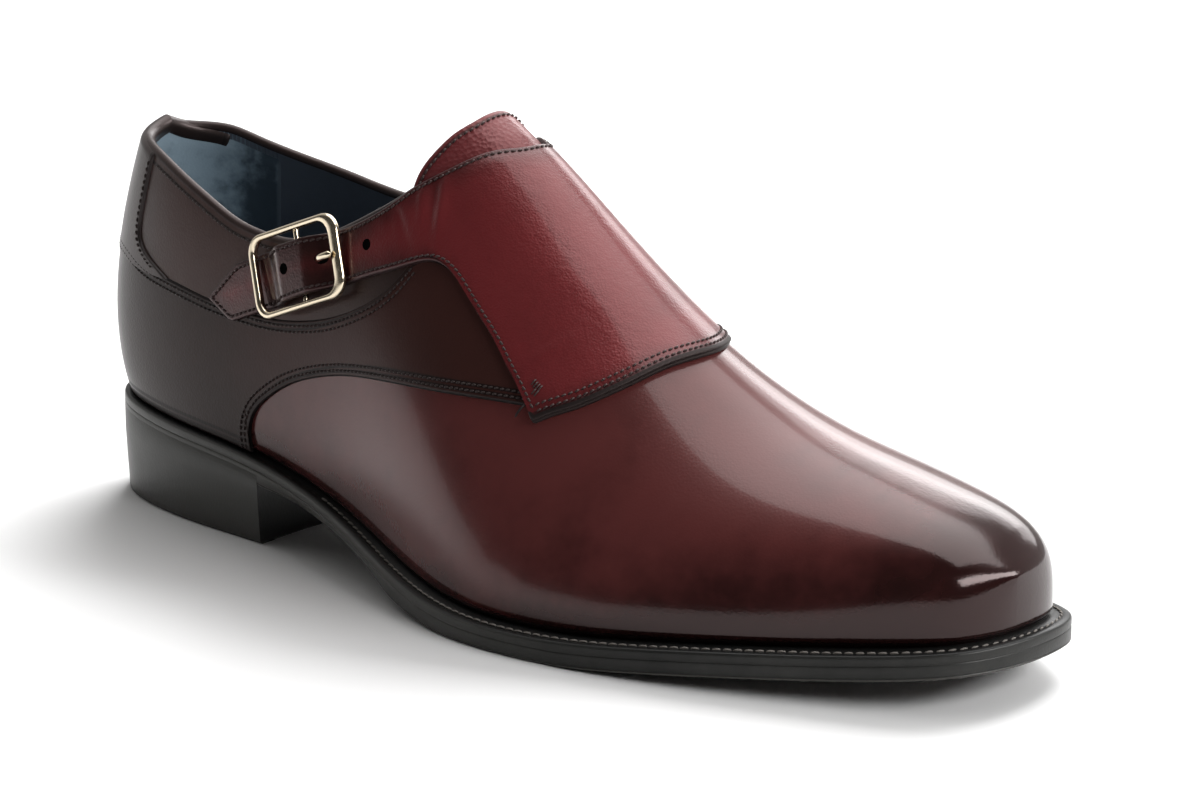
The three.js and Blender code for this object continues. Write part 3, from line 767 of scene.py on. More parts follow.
def relief(points, kind):
    # less every trough's depth times a round bell along and across its short slanted line
    total = np.zeros(points.shape[:-1])
    for x, y, z, slant, long, wide, deep in creases[kind]:
        away = points - np.array([x, y, z])
        along = away[..., 0] * math.cos(slant) + away[..., 2] * math.sin(slant)
        across = -away[..., 0] * math.sin(slant) + away[..., 2] * math.cos(slant)
        bell = (along / long) ** 2 + (across / wide) ** 2 + (away[..., 1] / (long + 6)) ** 2
        total = total - deep * np.exp(-bell)
    return total


# Vamp: runs over the toe from a line hidden under the quarters and the flap. Burns: amount,
# then where they start and where they are whole
vamp = {
    "back": [(-92, 0), (-88, 0.08), (-74, 0.16), (-40, 0.22), (0, 0.3), (14, 0.5), (0, 0.7),
             (-40, 0.78), (-74, 0.84), (-88, 0.92), (-92, 1)],
    "stations": 200,
    "turns": 150,
    "tuck": (0.9, 2.2, 0.4),
    # rim: how far the band of cut colour along the welt reaches up, painted shade of the crevice
    "rim": 0.9,
    "plain": 0.1,
    "toe": (0.5, 70, 146),
    "side": (0.4, 5, 75),
    "sideHeight": (32, 14),
    # sole: darker just above the welt, partly burnished and partly painted shade and reflection of the
    # dark welt
    "sole": (0.4, 12, 2),
    "heel": (0.22, 10, 75),
}


def makeVamp():
    # from the back line's turns to even turns at the toe; tucked in and darker low down: on the sides
    # towards the toe, and just above the welt partly a burnished edge and partly painted shade and
    # reflection of the dark welt
    back = track([(angleOfX(x), turn) for x, turn in vamp["back"]])
    start = back(np.linspace(0, 1, vamp["turns"]))
    share = np.linspace(0, 1, vamp["stations"])[:, None]
    angle = start[None, :, 0] + (math.pi - start[None, :, 0]) * share
    blend = smoothstep(share, 0, 0.5)
    turn = start[None, :, 1] * (1 - blend) + np.linspace(0, 1, vamp["turns"]) * blend
    params = np.stack([angle, turn], -1)
    base = onForm(params)
    low = base[..., 2] - rimHeight(base[..., 0])
    points = skin(params, relief(base, "vamp") - ramp(low, *vamp["tuck"]))
    x, above = points[..., 0], points[..., 2] - rimHeight(points[..., 0])
    burn = (vamp["plain"] + ramp(x, *vamp["toe"]) + ramp(above, *vamp["sole"])
            + ramp(x, *vamp["side"]) * smoothstep(above, *vamp["sideHeight"])
            + ramp(-x, *vamp["heel"]))
    # its lowest band along the welt takes the cut colour: painted shade of the crevice between upper
    # and welt
    makePiece("vamp", points, vampLeather, outOf(params), burn,
              np.clip(low - vamp["rim"], 0, 20))


# Seam up the middle of the heel: how far back it lies, then its groove and the panels' edges
heelSeam = {"behind": -110, "groove": (0.4, 1.1, 0), "edge": 0.9, "flapEdge": 0.8}


def fromBackSeam(base):
    # distance to the heel's middle, far away elsewhere
    return np.where(base[..., 0] < heelSeam["behind"], np.abs(base[..., 1]), 99.0)


def makeLaid(name, grid, offset, material, burn, rim=(True, True), drop=0.9, mark=None):
    # panel on the form with rounded edges that go down to the layer below it
    height = np.full(grid["low"].shape, offset)
    edge = np.full(height.shape, 9.0)
    for key, on in zip(("low", "high"), rim):
        if on:
            height = height - drop * (1 - rounded(grid[key], panel["round"]))
            edge = np.minimum(edge, grid[key])
    if mark:
        edge = np.minimum(edge, grid[mark] + 0.6)
    seam = fromBackSeam(onForm(grid["params"]))
    points = skin(grid["params"], height - ramp(seam, *heelSeam["groove"]))
    makePiece(name, points, material, outOf(grid["params"]), burn(points),
              np.minimum(edge, seam + heelSeam["edge"]))


# Quarter: near black at the heel and the sole, warmer towards the flap
quarter = {"drop": 1.1, "plain": 0.1, "heel": (0.8, 30, 120), "sole": (0.35, 46, 26)}


def quarterBurn(points):
    # plain dye plus the heel's and the sole's ramps
    return (quarter["plain"] + ramp(-points[..., 0], *quarter["heel"])
            + ramp(points[..., 2], *quarter["sole"]))


def makeQuarter():
    # between the vamp's edge and the seam under the collar
    lift = layers["quarter"]
    bottom = track(featherLine(outer, -150, -80.7), onSide(outer, "vampEdge", lift))
    top = track(np.vstack([backPoint(outer, 70), onSide(outer, "seam", lift)]),
                onSide(outer, "underFlap", lift))
    makeLaid("quarter_outer", spread(bottom, top, 240, 44), lift, quarterLeather, quarterBurn,
             drop=quarter["drop"])


# Collar: from under the seam to the topline; the back's height, how far it goes under
collar = {"top": 97.2, "under": 0.012, "plain": 0.25, "heel": (0.5, 105, 146),
          "front": (0.35, -75, -35)}


def collarBurn(points):
    # plain dye plus the ramps to the heel and to the front
    x = points[..., 0]
    return collar["plain"] + ramp(-x, *collar["heel"]) + ramp(x, *collar["front"])


def makeCollars():
    # the inner seam's line runs to the heel, so it is turned round first
    lift = layers["collar"]
    for side, name, rows in ((outer, "outer", lines["seam"]),
                             (inner, "inner", lines["innerSeam"][::-1])):
        edge = findOn(side, rows, lift) + [[0, collar["under"] * side]]
        bottom = track(np.vstack([backPoint(side, 66), edge]))
        grid = spread(bottom, topline(side), 220, 30)
        makeLaid(f"collar_{name}", grid, lift, collarLeather, collarBurn, rim=(False, False),
                 mark="high")


def topline(side):
    # line of the collar's upper edge from the heel to the throat
    name = "toplineOuter" if side < 0 else "toplineInner"
    return track(np.vstack([backPoint(side, collar["top"]), onSide(side, name, layers["collar"])]))


def toplineParams(side, count):
    # even points of that line
    return topline(side)(np.linspace(0, 1, count))


# Buckle: its middle on the form, and its own axes along the strap, up across it and outwards
buckle = {
    "angle": float(angleAt(0.303)), "turn": 0.181, "slant": 0.375,
    "length": 34.2, "height": 21.8, "corner": 5.0, "innerCorner": 3.6,
    "backBar": 2.1, "frontBar": 3.5, "rail": 1.75, "squared": 0.75, "crown": 0.35,
    "low": 3.1, "thickness": 2.1, "barHeight": 2.9, "barRadius": 0.75, "eye": (1.5, 0.42, 1.4),
    "prong": [[1.4, 2.9], [4, 3], [6, 3.4], [8.4, 4.6], [10.4, 5.9], [12.4, 6.35], [14.2, 6.3],
              [15.4, 6.2]],  # along the strap, height above the form
    "prongHalf": 0.85, "prongWide": 1.1,
}
buckleCentre = formPoint(buckle["angle"], buckle["turn"])
buckleOut = formNormal(buckle["angle"], buckle["turn"])
buckleAlong = np.array([math.cos(buckle["slant"]), 0, math.sin(buckle["slant"])])
buckleAlong = unit(buckleAlong - buckleOut * (buckleAlong @ buckleOut))
buckleUp = np.cross(buckleOut, buckleAlong)


def fromBuckle(along, up, out):
    # middle plus each distance along its own axis
    along, up, out = np.broadcast_arrays(along, up, out)
    return (buckleCentre + along[..., None] * buckleAlong + up[..., None] * buckleUp
            + out[..., None] * buckleOut)


# Flap: one piece of leather from the strap's point over the instep to the inner side of the heel
flap = {
    # from, to, count: the tail's point and tail, the strap, the front, the inner side
    "columns": [(0, 0.004, 8), (0.004, 0.2, 130), (0.2, 0.37, 96), (0.37, 0.62, 120), (0.62, 1, 110)],
    "rows": 56,
    "over": 2.0,
    "crest": [(-6.6, -5), (-5.6, 0), (-7.4, 6)],
    # share of the way, then the places on the upper and the lower line, and their side
    "pins": [
        (0.0, (-94.6, 62.2), (-94.6, 62.2), -1), (0.055, (-83.9, 72.8), (-84.6, 57.6), -1),
        (0.2, (-44, 88.7), (-41.4, 74.9), -1), (0.27, (-30.8, 96.4), (-12.6, 85), -1),
        (0.37, (-19.1, 105), (28, 53.8), -1), (0.55, (-22.7, 106.6), (31.4, 64.3), 1),
        (0.62, (-42.3, 94.7), (9.2, 52.4), 1), (0.66, (-48.9, 90.2), (-7.4, 52.8), 1),
        (0.73, (-47.4, 69), (-42.1, 51.2), 1), (0.84, (-86, 61.7), (-80.7, 24), 1),
    ],
    "leftToRight": (-4, 20), "inner": (0, 12), "outer": (0, 10), "edgeFree": (0.5, 4),
    "down": (0.42, 0.66),
    "climb": (4.2, 12.5, 4),  # how far the tail climbs over the bar of the buckle, and where
    "climbTurn": 0.4,
    "thick": 1.35,
    "underShare": 0.235,
    "wallLow": 1.35, "wallFront": (0.9, 0.36, 0.38), "wallFrontEnd": (0.63, 0.6),
    "wallHigh": 1.0, "wallHighMore": (0.3, 0.1, 0.3),
    "plain": 0.08, "tail": (0.5, 22, 70), "heel": (0.95, 20, 110), "inside": 0.2,
    "behind": (112, 130), "rim": (0.4, 9, 1.5),
}


def flapTracks():
    # upper and lower outline from the point round to the heel, pinned to run side by side
    lift, liftInner, over = layers["flap"], layers["flapInner"], flap["over"]
    top = track(
        onSide(outer, "strapTipTop", lift),
        np.vstack([onSide(outer, "strapTop", lift), findOver(flap["crest"], over),
                   onSide(inner, "innerTop", liftInner)]),
        np.vstack([onSide(inner, "innerSeam", liftInner), backPoint(inner, 70)]))
    front = np.vstack([onSide(outer, "frontOuter", lift), findOver(lines["frontOver"], over),
                       onSide(inner, "frontInner", liftInner)])
    low = track(onSide(outer, "strapTipLow", lift), onSide(outer, "strapLow", lift), front,
                onSide(inner, "innerLow", liftInner), featherLine(inner, -80.7, -150))
    return [pinned(line, [(pin[0], findOn(pin[3], [pin[k]], over)[0]) for pin in flap["pins"]]
                   + [(1.0, line(1.0))]) for k, line in ((1, top), (2, low))]


def flapOffset(params):
    # strap's own height: over the outer quarter, down to the inner side, up over the bar
    turn = params[..., 1]
    height = layers["flap"] + ramp(turn, layers["flapInner"] - layers["flap"], *flap["down"])
    fromBar = np.abs((onForm(params) - buckleCentre) @ buckleAlong)
    return height + np.where(turn < flap["climbTurn"], ramp(fromBar, *flap["climb"]), 0)


def flapBurn(points):
    # plain dye plus ramps to the tail's point and to the heel, the heel's only on the inner side
    x, y = points[..., 0], points[..., 1]
    behind = smoothstep(-x, *flap["behind"])
    tail = ramp(-x, *flap["tail"]) * smoothstep(-y, *flap["outer"])
    toHeel = ramp(-x, *flap["heel"]) * np.maximum(smoothstep(y, *flap["inner"]), behind)
    inside = flap["inside"] * np.maximum(smoothstep(y, *flap["leftToRight"]), behind)
    return flap["plain"] + tail + toHeel + inside


def makeFlap():
    # its height, the troughs away from the edges, and walls down to what is below: the
    # quarter, or the vamp at the front
    top, low = flapTracks()
    columns = np.concatenate([np.linspace(*part)[:-1] for part in flap["columns"]] + [[1.0]])
    grid = spread(low, top, columns, flap["rows"])
    params, s = grid["params"], grid["s"]
    deep = flap["wallLow"] + ramp(s, *flap["wallFront"]) * smoothstep(s, *flap["wallFrontEnd"])
    shallow = flap["wallHigh"] + ramp(s, *flap["wallHighMore"])
    wall = np.where(grid["low"] < grid["high"], deep, shallow)
    nearest = np.minimum(grid["low"], grid["high"])
    base = onForm(params)
    seam = fromBackSeam(base)
    height = (flapOffset(params) + relief(base, "flap") * smoothstep(nearest, *flap["edgeFree"])
              - wall * (1 - rounded(nearest, panel["round"])) - ramp(seam, *heelSeam["groove"]))
    points = skin(params, height)
    makePiece("flap", points, flapLeather, outOf(params),
              flapBurn(points) + ramp(nearest, *flap["rim"]),
              np.minimum(nearest, seam + heelSeam["flapEdge"]))
    # underside of the tail, closed against the top's edges
    under = spread(low, top, np.linspace(0, flap["underShare"], 120), 12)["params"]
    makePiece("flap_underside", skin(under, flapOffset(under) - flap["thick"]), edgePaint,
              -outOf(under), 0, 5)
    return top, low


def coons(left, right, bottom, top, columns, rows):
    # patch between four lines: both pairs blended, less the blend of the corners
    c, t = np.linspace(0, 1, columns)[None, :, None], np.linspace(0, 1, rows)[:, None, None]
    sides = [line(t[:, 0, 0])[:, None] for line in (left, right)]
    below, above = [line(c[0, :, 0])[None] for line in (bottom, top)]
    corners = ((1 - c) * (1 - t) * below[:, :1] + c * (1 - t) * below[:, -1:]
               + (1 - c) * t * above[:, :1] + c * t * above[:, -1:])
    return (1 - c) * sides[0] + c * sides[1] + (1 - t) * below + t * above - corners


# Topline: a roll of leather round the upper edge
roll = {"middle": -0.62, "radius": 1.42, "flatBack": (0, 9)}


def rollPoints(params, extra, turns):
    # half round over the topline: outer face, top, inner face
    places = skin(params, roll["middle"])
    normal = outOf(params)
    up = unit(np.cross(unit(np.gradient(places, axis=0)), normal))
    up = up * np.sign(up[:, 2:3])
    up[:, 1] *= smoothstep(np.abs(places[:, 1]), *roll["flatBack"])
    up = unit(up)
    reach = np.asarray(roll["radius"] + extra)[..., None]
    turns = turns[:, None, None]
    return places + reach * (np.cos(turns) * normal + np.sin(turns) * up), normal, up


def makeRoll():
    # both halves of the topline
    for side, name in ((outer, "topline_outer"), (inner, "topline_inner")):
        params = toplineParams(side, 260)
        points = rollPoints(params, 0, np.linspace(-0.25, math.pi + 0.5, 12))[0]
        makePiece(name, points, toplineLeather, points - skin(params, roll["middle"]),
                  collarBurn(points))


# Back strip: covers the middle of the heel, widens along the seam and folds over the topline
strip = {
    "innerShift": (8, 66, 80),  # how much further back the inner side's front edge lies, by height
    "heights": (66, 76, 87, 97.2),
    "low": [(-126, 63.4), (-139, 65)],
    "columns": np.concatenate([[0, 0.006, 0.018, 0.04, 0.07], np.linspace(0.1, 1, 35)]),
    "rows": 34,
    "round": 0.55, "drop": 1.0, "rim": 0.7, "sunk": 0.05,
    "fold": np.linspace(0.25, math.pi + 0.1, 12),
    "down": np.array([0.5, 1.0, 1.6, 2.1, 2.3]),
    "in": np.array([0.0, 0.05, 0.1, 0.3, 0.7]),
    "burn": 0.4,
}


def stripFront(side, count=8):
    # front edge from the topline's end upwards, its x less the shift on the inner side
    rows = [(x - (ramp(z, *strip["innerShift"]) if side > 0 else 0), z)
            for x, z in lines["stripFront"][:count]]
    return track(findOn(side, rows[::-1], layers["strip"]))


def makeStrip():
    # patch up the heel, fine columns at its front edge, then the fold and its inner end
    for side, name in ((outer, "back_strip_outer"), (inner, "back_strip_inner")):
        front = stripFront(side)
        middle = track(np.vstack([backPoint(side, height) for height in strip["heights"]]))
        low = track(np.vstack([front(0.0)[None], findOn(side, strip["low"], layers["strip"]),
                               backPoint(side, 66)]))
        whole = toplineParams(side, 900)
        end = np.argmin(np.linalg.norm(onForm(whole) - onForm(front(1.0)), axis=-1))
        high = track(whole[np.linspace(end, 0, 40).round().astype(int)])
        even = coons(front, middle, low, high, 40, strip["rows"])
        params = np.stack([pick(strip["columns"], np.linspace(0, 1, 40), row) for row in even])
        edge = np.stack([run(row) for row in onForm(params)])
        body = skin(params, layers["strip"] - strip["drop"] * (1 - rounded(edge, strip["round"])))
        tip = params[-1]
        rim = strip["rim"] * rounded(edge[-1], strip["round"]) - strip["sunk"]
        fold, normal, up = rollPoints(tip, rim, strip["fold"])
        inside = fold[-1] - up * strip["down"][:, None, None] + normal * strip["in"][:, None, None]
        points = np.concatenate([body, fold, inside])
        outward = np.concatenate([outOf(params), fold - skin(tip, roll["middle"]),
                                  np.repeat(-normal[None], len(inside), 0)])
        edge = np.concatenate([edge, np.repeat(edge[-1:], len(points) - len(edge), 0)])
        makePiece(name, points, stripLeather, outward, strip["burn"], edge)


# Inside: smooth lining on both sides, a suede grip at the heel and lining to the toe in its deep
# colour; all painted darker lower down and further in, as painted shade inside the shoe
lining = {
    "burn": (90, 40), "gripEnd": 0.235, "gripSlant": 0.86, "gripThick": 0.45, "gripRound": 0.8,
    "gripTop": 3.2, "gripTopRound": 0.6, "gripLow": (1.15, 92, 38), "gripFront": (0.8, 13, 1),
    "toeFrom": -8, "toeIn": 0.4,
}


def makeLining():
    # lining a little inside the form, the grip raised on it with rounded front and top
    lift = layers["lining"]
    for side, name in ((outer, "outer"), (inner, "inner")):
        bottom = track(featherLine(side, -150, 40))
        top = track(toplineParams(side, 300)[::6])
        params = spread(bottom, top, 120, 34)["params"]
        points = skin(params, lift)
        # bright colour at the top to deep colour low down: painted shade inside the shoe
        makePiece(f"lining_{name}", points, liningLeather, -outOf(params),
                  smoothstep(points[..., 2], *lining["burn"]))
        grid = spread(lambda s: bottom(s * lining["gripSlant"]), top,
                      np.linspace(0, lining["gripEnd"], 50), 30)
        fromFront = (lining["gripEnd"] - grid["s"]) * top.length
        raised = (lining["gripThick"] * rounded(fromFront, lining["gripRound"])
                  * rounded(grid["high"] - lining["gripTop"], lining["gripTopRound"]))
        points = skin(grid["params"], lift - raised)
        # the grip too is darker low down as painted shade, and darker towards its front edge
        makePiece(f"grip_{name}", points, gripLeather, -outOf(grid["params"]),
                  ramp(points[..., 2], *lining["gripLow"]) + ramp(fromFront, *lining["gripFront"]),
                  fromFront)
    # the toe's lining in its deep colour all over: painted shade inside the toe
    angle = np.linspace(angleOfX(lining["toeFrom"]), math.pi, 90)[:, None]
    params = np.stack(np.broadcast_arrays(angle, np.linspace(0, 1, 70)), -1)
    makePiece("lining_toe", skin(params, lift - lining["toeIn"]), liningLeather,
              -outOf(params), 1)


# Sock: inside the feather edge, higher at both sides
sock = {"in": 2.4, "height": 3.3, "cup": 1.6, "burn": 0.4}


def makeInsole():
    # side to side between the two edges; the cup rises with the fourth power
    angle = np.linspace(0, math.pi, 150)
    sides = [np.stack(soleEdge(angle, side, soleCurve(angle)[:, column] + sock["in"]), -1)
             for side, column in ((outer, 2), (inner, 3))]
    flat = between(*sides, 40)
    rise = sock["cup"] * np.linspace(-1, 1, 40)[:, None] ** 4
    height = rimHeight(flat[..., 0]) + sock["height"] + rise
    makePiece("sock", np.concatenate([flat, height[..., None]], -1), sockLeather,
              [0, 0, 1], sock["burn"])


# Tongue: padded sheet inside the throat, its rounded end standing above the flap
tongue = {
    "lift": 0.4,
    "crest": [(-20.4, -8), (-19.4, -3.5), (-19.2, 1.5), (-19.8, 6), (-21, 9.5)],
    "innerSide": [(-23.6, 110.8), (-25.4, 106.5), (-28, 101), (-31.5, 94), (-34, 86)],
    "front": [(26, 0.28), (34, 0.5), (26, 0.72)],
    "height": 0.5, "under": (1.9, 9, 24), "half": 0.95,
    "plain": 0.25, "low": (0.4, 104, 94), "rim": 0.3,
}


def tongueTrack():
    # its outline: up the outer side, over the crest and down the inner side
    lift = tongue["lift"]
    return track(np.vstack([onSide(outer, "tongue", lift), findOver(tongue["crest"], lift),
                            findOn(inner, tongue["innerSide"], lift)]))


def makeTongue():
    # two faces that meet in a half round along the outline
    front = track([(angleOfX(x), turn) for x, turn in tongue["front"]])
    grid = spread(front, tongueTrack(), 150, 40)
    params, high, half = grid["params"], grid["high"], tongue["half"]
    lift = tongue["height"] - ramp(high, *tongue["under"])
    upper = skin(params, lift - half * (1 - rounded(high, half)))
    lower = skin(params, lift - half - half * rounded(high, half))
    for name, points, material, way in (("tongue", upper, tongueLeather, 1),
                                        ("tongue_lining", lower, edgePaint, -1)):
        makePiece(name, points, material, outOf(params) * way,
                  tongue["plain"] + ramp(points[..., 2], *tongue["low"]), high + tongue["rim"])


# Welt and outsole edge: inset and drop below the welt's top; the waist is cut in under the welt
sole = {
    "profile": np.array([
        [10, 0.1], [6, 0], [3.3, 0], [3.0, 0.14], [2.2, 0.14], [1.9, 0], [0.95, 0.03], [0.4, 0.16],
        [0.12, 0.42], [0.0, 0.8], [0.0, 2.2], [0.06, 2.4], [0.14, 2.5], [0.14, 2.6], [0.06, 2.7],
        [0.0, 2.9], [0.0, 5.3], [0.05, 5.5], [0.16, 5.56], [0.16, 5.68], [0.02, 5.76], [0.08, 6.05],
        [0.45, 6.32], [1.1, 6.38], [2.4, 6.4], [8, 6.25]]),
    "columns": 280,
    "thick": 6.4, "welt": 3.2,
    "waist": (2.2, -76, -62), "waistEnd": (-8, -34),
    # foot: how much lighter the bottom bevel is, a painted highlight along the bottom rim
    "plain": 0.05, "front": (0.6, -5, 70), "top": 0.75, "foot": 0.8, "tread": 0.5,
}


def sweepSole(angle, side):
    # the profile's insets and drops carried round the sole's outline, thinner where it is low
    inset, drop = sole["profile"][:, :1], sole["profile"][:, 1:]
    x = soleEdge(angle, side, 0)[0]
    slim = ramp(x, *sole["waist"]) * smoothstep(x, *sole["waistEnd"])
    inset = inset + slim * np.clip((drop - sole["welt"]) / sole["welt"], 0, 1) ** 1.5
    top = rimHeight(x)
    z = top - drop * np.minimum(top, sole["thick"]) / sole["thick"]
    return np.stack([*soleEdge(angle, side, inset), z], -1)


def makeSole():
    # both sides in one ring, then the tread side to side between the edges' last rows but one
    angle = np.linspace(0, math.pi, sole["columns"])
    outerSide, innerSide = sweepSole(angle, -1), sweepSole(angle, 1)
    points = np.concatenate([outerSide, innerSide[:, ::-1][:, 1:-1]], 1)
    drop = sole["profile"][:, 1:]
    # lighter along the bottom bevel by the foot amount: painted highlight of the rim
    burn = (sole["plain"] + ramp(points[..., 0], *sole["front"]) + sole["top"] * (drop < 0.3)
            - sole["foot"] * (drop > 5.7) * (drop < 6.2))
    makePiece("sole_edge", points, soleLeather,
              points * [0.3, 1, 1] - [0, 0, 8], burn, closed=(False, True))
    makePiece("tread", between(outerSide[-2], innerSide[-2], 24), treadLeather,
              [0, 0, -1], sole["tread"])


# Heel: share of the height and inset of its wall, hollow of its breast
heel = {
    "front": -76, "flush": 2.95, "hollow": 2.4, "hollowFrom": (-110, -76), "middle": -110,
    "drop": np.array([0.0, 0.04, 0.3, 0.6, 0.85, 0.9, 0.95, 0.985, 1.0, 0.98])[:, None],
    "inset": np.array([0.5, -0.02, 0.0, 0.35, 0.7, 0.75, 0.78, 0.95, 1.5, 6.0])[:, None],
    "wallBurn": 0.1, "breastPaintedShade": 0.9, "treadBurn": 0.8,
}


def makeHeel():
    # wall round the back; breast and tread side to side, hollow by one less the square
    angle = np.linspace(0, float(angleOfX(heel["front"])), 90)
    sides = []
    for side in (-1, 1):
        x, y = soleEdge(angle, side, heel["inset"])
        top = rimHeight(soleEdge(angle, side, 0)[0]) - heel["flush"]
        sides.append(np.stack([x, y, top * (1 - heel["drop"])], -1))
    wall = np.concatenate([sides[0][:, ::-1], sides[1][:, 1:]], 1)
    makePiece("heel_wall", wall, soleLeather,
              (wall - [heel["middle"], 0, 0]) * [1, 1, 0], heel["wallBurn"])
    breast = between(wall[1:9, 0], wall[1:9, -1], 40)
    breast[..., 0] -= heel["hollow"] * (1 - np.linspace(-1, 1, 40)[:, None] ** 2)
    # the breast is much darker than the wall: painted shade under the arch
    makePiece("heel_breast", breast.swapaxes(0, 1), soleLeather, [1, 0, 0],
              heel["breastPaintedShade"])
    tread = between(sides[0][-2], sides[1][-2], 20)
    way = heel["hollow"] * (1 - np.linspace(-1, 1, 20)[:, None] ** 2)
    tread[..., 0] -= way * smoothstep(tread[..., 0], *heel["hollowFrom"])
    makePiece("heel_tread", tread, treadLeather, [0, 0, -1], heel["treadBurn"])


def roundedRing(halfLong, halfHigh, corner, middle):
    # rounded rectangle: points by angle round each corner, even ones along the sides
    corners = []
    for quarter, (sx, sy) in enumerate(((1, 1), (-1, 1), (-1, -1), (1, -1))):
        turn = (quarter + np.linspace(0, 1, 12)) * math.pi / 2
        corners.append(np.stack([middle + sx * (halfLong - corner) + corner * np.cos(turn),
                                 sy * (halfHigh - corner) + corner * np.sin(turn)], -1))
    ring = [part for here, after in zip(corners, corners[1:] + corners[:1])
            for part in (here, between(here[-1], after[0], 16)[1:-1])]
    return np.concatenate(ring)


def metalPiece(name, points, core, closed):
    # part of the buckle, its faces turned away from its core
    return makePiece(name, points, buckleMetal, points - core, closed=closed)


def makeBuckle():
    # rim: a squared circle swept between the two rings, bent a little down at both ends
    half, rise, deep = buckle["length"] / 2, buckle["height"] / 2, buckle["thickness"] / 2
    left, right = -half + buckle["backBar"], half - buckle["frontBar"]
    outerRing = roundedRing(half, rise, buckle["corner"], 0)
    innerRing = roundedRing((right - left) / 2, rise - buckle["rail"], buckle["innerCorner"],
                            (left + right) / 2)
    turn = circle(20)[:, None]
    side, up = [np.sign(way) * np.abs(way) ** buckle["squared"] for way in (np.cos(turn), np.sin(turn))]
    middle, reach = (outerRing + innerRing) / 2, (outerRing - innerRing) / 2
    flat = middle + reach * side[..., None]
    crown = buckle["crown"] * (1 - (middle[:, 0] / half) ** 2)
    level = buckle["low"] + deep
    rim = metalPiece("buckle_rim", fromBuckle(flat[..., 0], flat[..., 1], level + deep * up + crown),
                     fromBuckle(middle[:, 0], middle[:, 1], level), (True, True))
    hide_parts("buckle_frame")
    # bar across the middle, under the strap
    along, turn = np.linspace(-rise + 1, rise - 1, 20), circle(12)[:, None]
    radius, height = buckle["barRadius"], buckle["barHeight"]
    bar = fromBuckle(radius * np.cos(turn), along, height + radius * np.sin(turn))
    metalPiece("buckle_bar", bar, fromBuckle(0, along, height), (True, False))
    # prong: eye round the bar and a shank that ends rounded on the front bar
    marks = np.array(buckle["prong"])
    key = run(marks)
    share = np.linspace(0, key[-1], 60)
    path = curveThrough(key, marks)(share)
    slope = unit(np.gradient(path, axis=0))
    girth = buckle["prongHalf"] * np.sqrt(np.clip((key[-1] - share) / buckle["prongWide"], 0.0, 1))
    turn = circle(14)[:, None]
    lift = girth * np.sin(turn) * buckle["prongHalf"]
    shank = fromBuckle(path[:, 0] - slope[:, 1] * lift, girth * np.cos(turn) * buckle["prongWide"],
                       path[:, 1] + slope[:, 0] * lift)
    prong = metalPiece("buckle_tip", shank, fromBuckle(path[:, 0], 0, path[:, 1]), (True, False))
    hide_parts("buckle_prong")
    around, turn = circle(28), circle(10)[:, None]
    big, small, wide = buckle["eye"]
    ring = big + small * np.cos(turn)
    eye = fromBuckle(ring * np.cos(around), small * np.sin(turn) * wide, height + ring * np.sin(around))
    metalPiece("buckle_eye", eye, fromBuckle(big * np.cos(around), 0, height + big * np.sin(around)),
               (True, True))


# Punched holes of the tail: place along the strap, how far each is drawn out, and the cup, painted near
# black as the shade inside the hole
holes = {
    "spots": {"hole_back": (-2.6, 1.0), "hole_prong": (9.2, 1.7), "hole_front": (24.4, 1.0)},
    "radius": 0.95,
    "rings": np.array([1.55, 1.35, 1.12, 1.0, 0.94, 0.9, 0.88, 0.02])[:, None],
    "rise": np.array([-0.02, 0.1, 0.14, 0.13, 0.09, 0.07, 0.06, 0.06])[:, None, None],
    "probe": 0.6,
    "edge": 0.3,
}


def makeHoles():
    # a cup painted near black as the shade in the hole, with a rounded rim in the strap's face, tilted
    # as the face is where it climbs
    turn, probe = circle(24), holes["probe"] * buckleAlong
    size = holes["radius"] * holes["rings"]
    for name, (along, stretch) in holes["spots"].items():
        base = buckleCentre + buckleAlong * along
        params = findOn(outer, [spot[[0, 2]] for spot in (base, base + probe, base - probe)])
        centre, ahead, behind = skin(params, flapOffset(params))
        normal, forward = outOf(params)[0], unit(ahead - behind)
        normal = unit(normal - forward * (normal @ forward))
        wide = size + (stretch - 1) * holes["radius"]
        points = (centre + forward * (wide * np.cos(turn))[..., None] + normal * holes["rise"]
                  + np.cross(normal, forward) * (size * np.sin(turn))[..., None])
        makePiece(name, points, holeShade, normal, 0, holes["edge"], (False, True))


makeVamp()
makeQuarter()
makeCollars()
makeRoll()
makeStrip()
flapTop, flapLow = makeFlap()
makeHoles()
makeTongue()
print("upper laid")
makeLining()
makeInsole()
print("inside laid")
makeSole()
makeHeel()
makeBuckle()
print("sole and buckle made")

# Stitches: pitch and size for each kind of seam, then the rows on the flap and the quarter:
# share of the line from and to, distances of the rows
seams = {
    "flap": {"pitch": 1.7, "long": 1.35, "thick": 0.62, "lift": 0.12},
    "plain": {"pitch": 1.65, "long": 1.25, "thick": 0.54, "lift": 0.1},
    "flapTop": ((0.004, 0.66), -1.35), "flapLow": ((0.004, 0.366), 1.3),
    "front": (0.374, 0.617), "innerLow": (0.625, 0.838), "innerSeam": (0.664, 0.985),
    "flapRows": (1.5, 3.1), "quarterRows": (1.5, 3.0),
    "topline": {-1: ((0.19, 0.985), -2.1), 1: ((0.19, 0.8), 2.1)},
    "strip": ((0.0, 0.98), 1.3), "tongue": ((0.02, 0.98), -2.3), "tongueLift": 0.52,
}


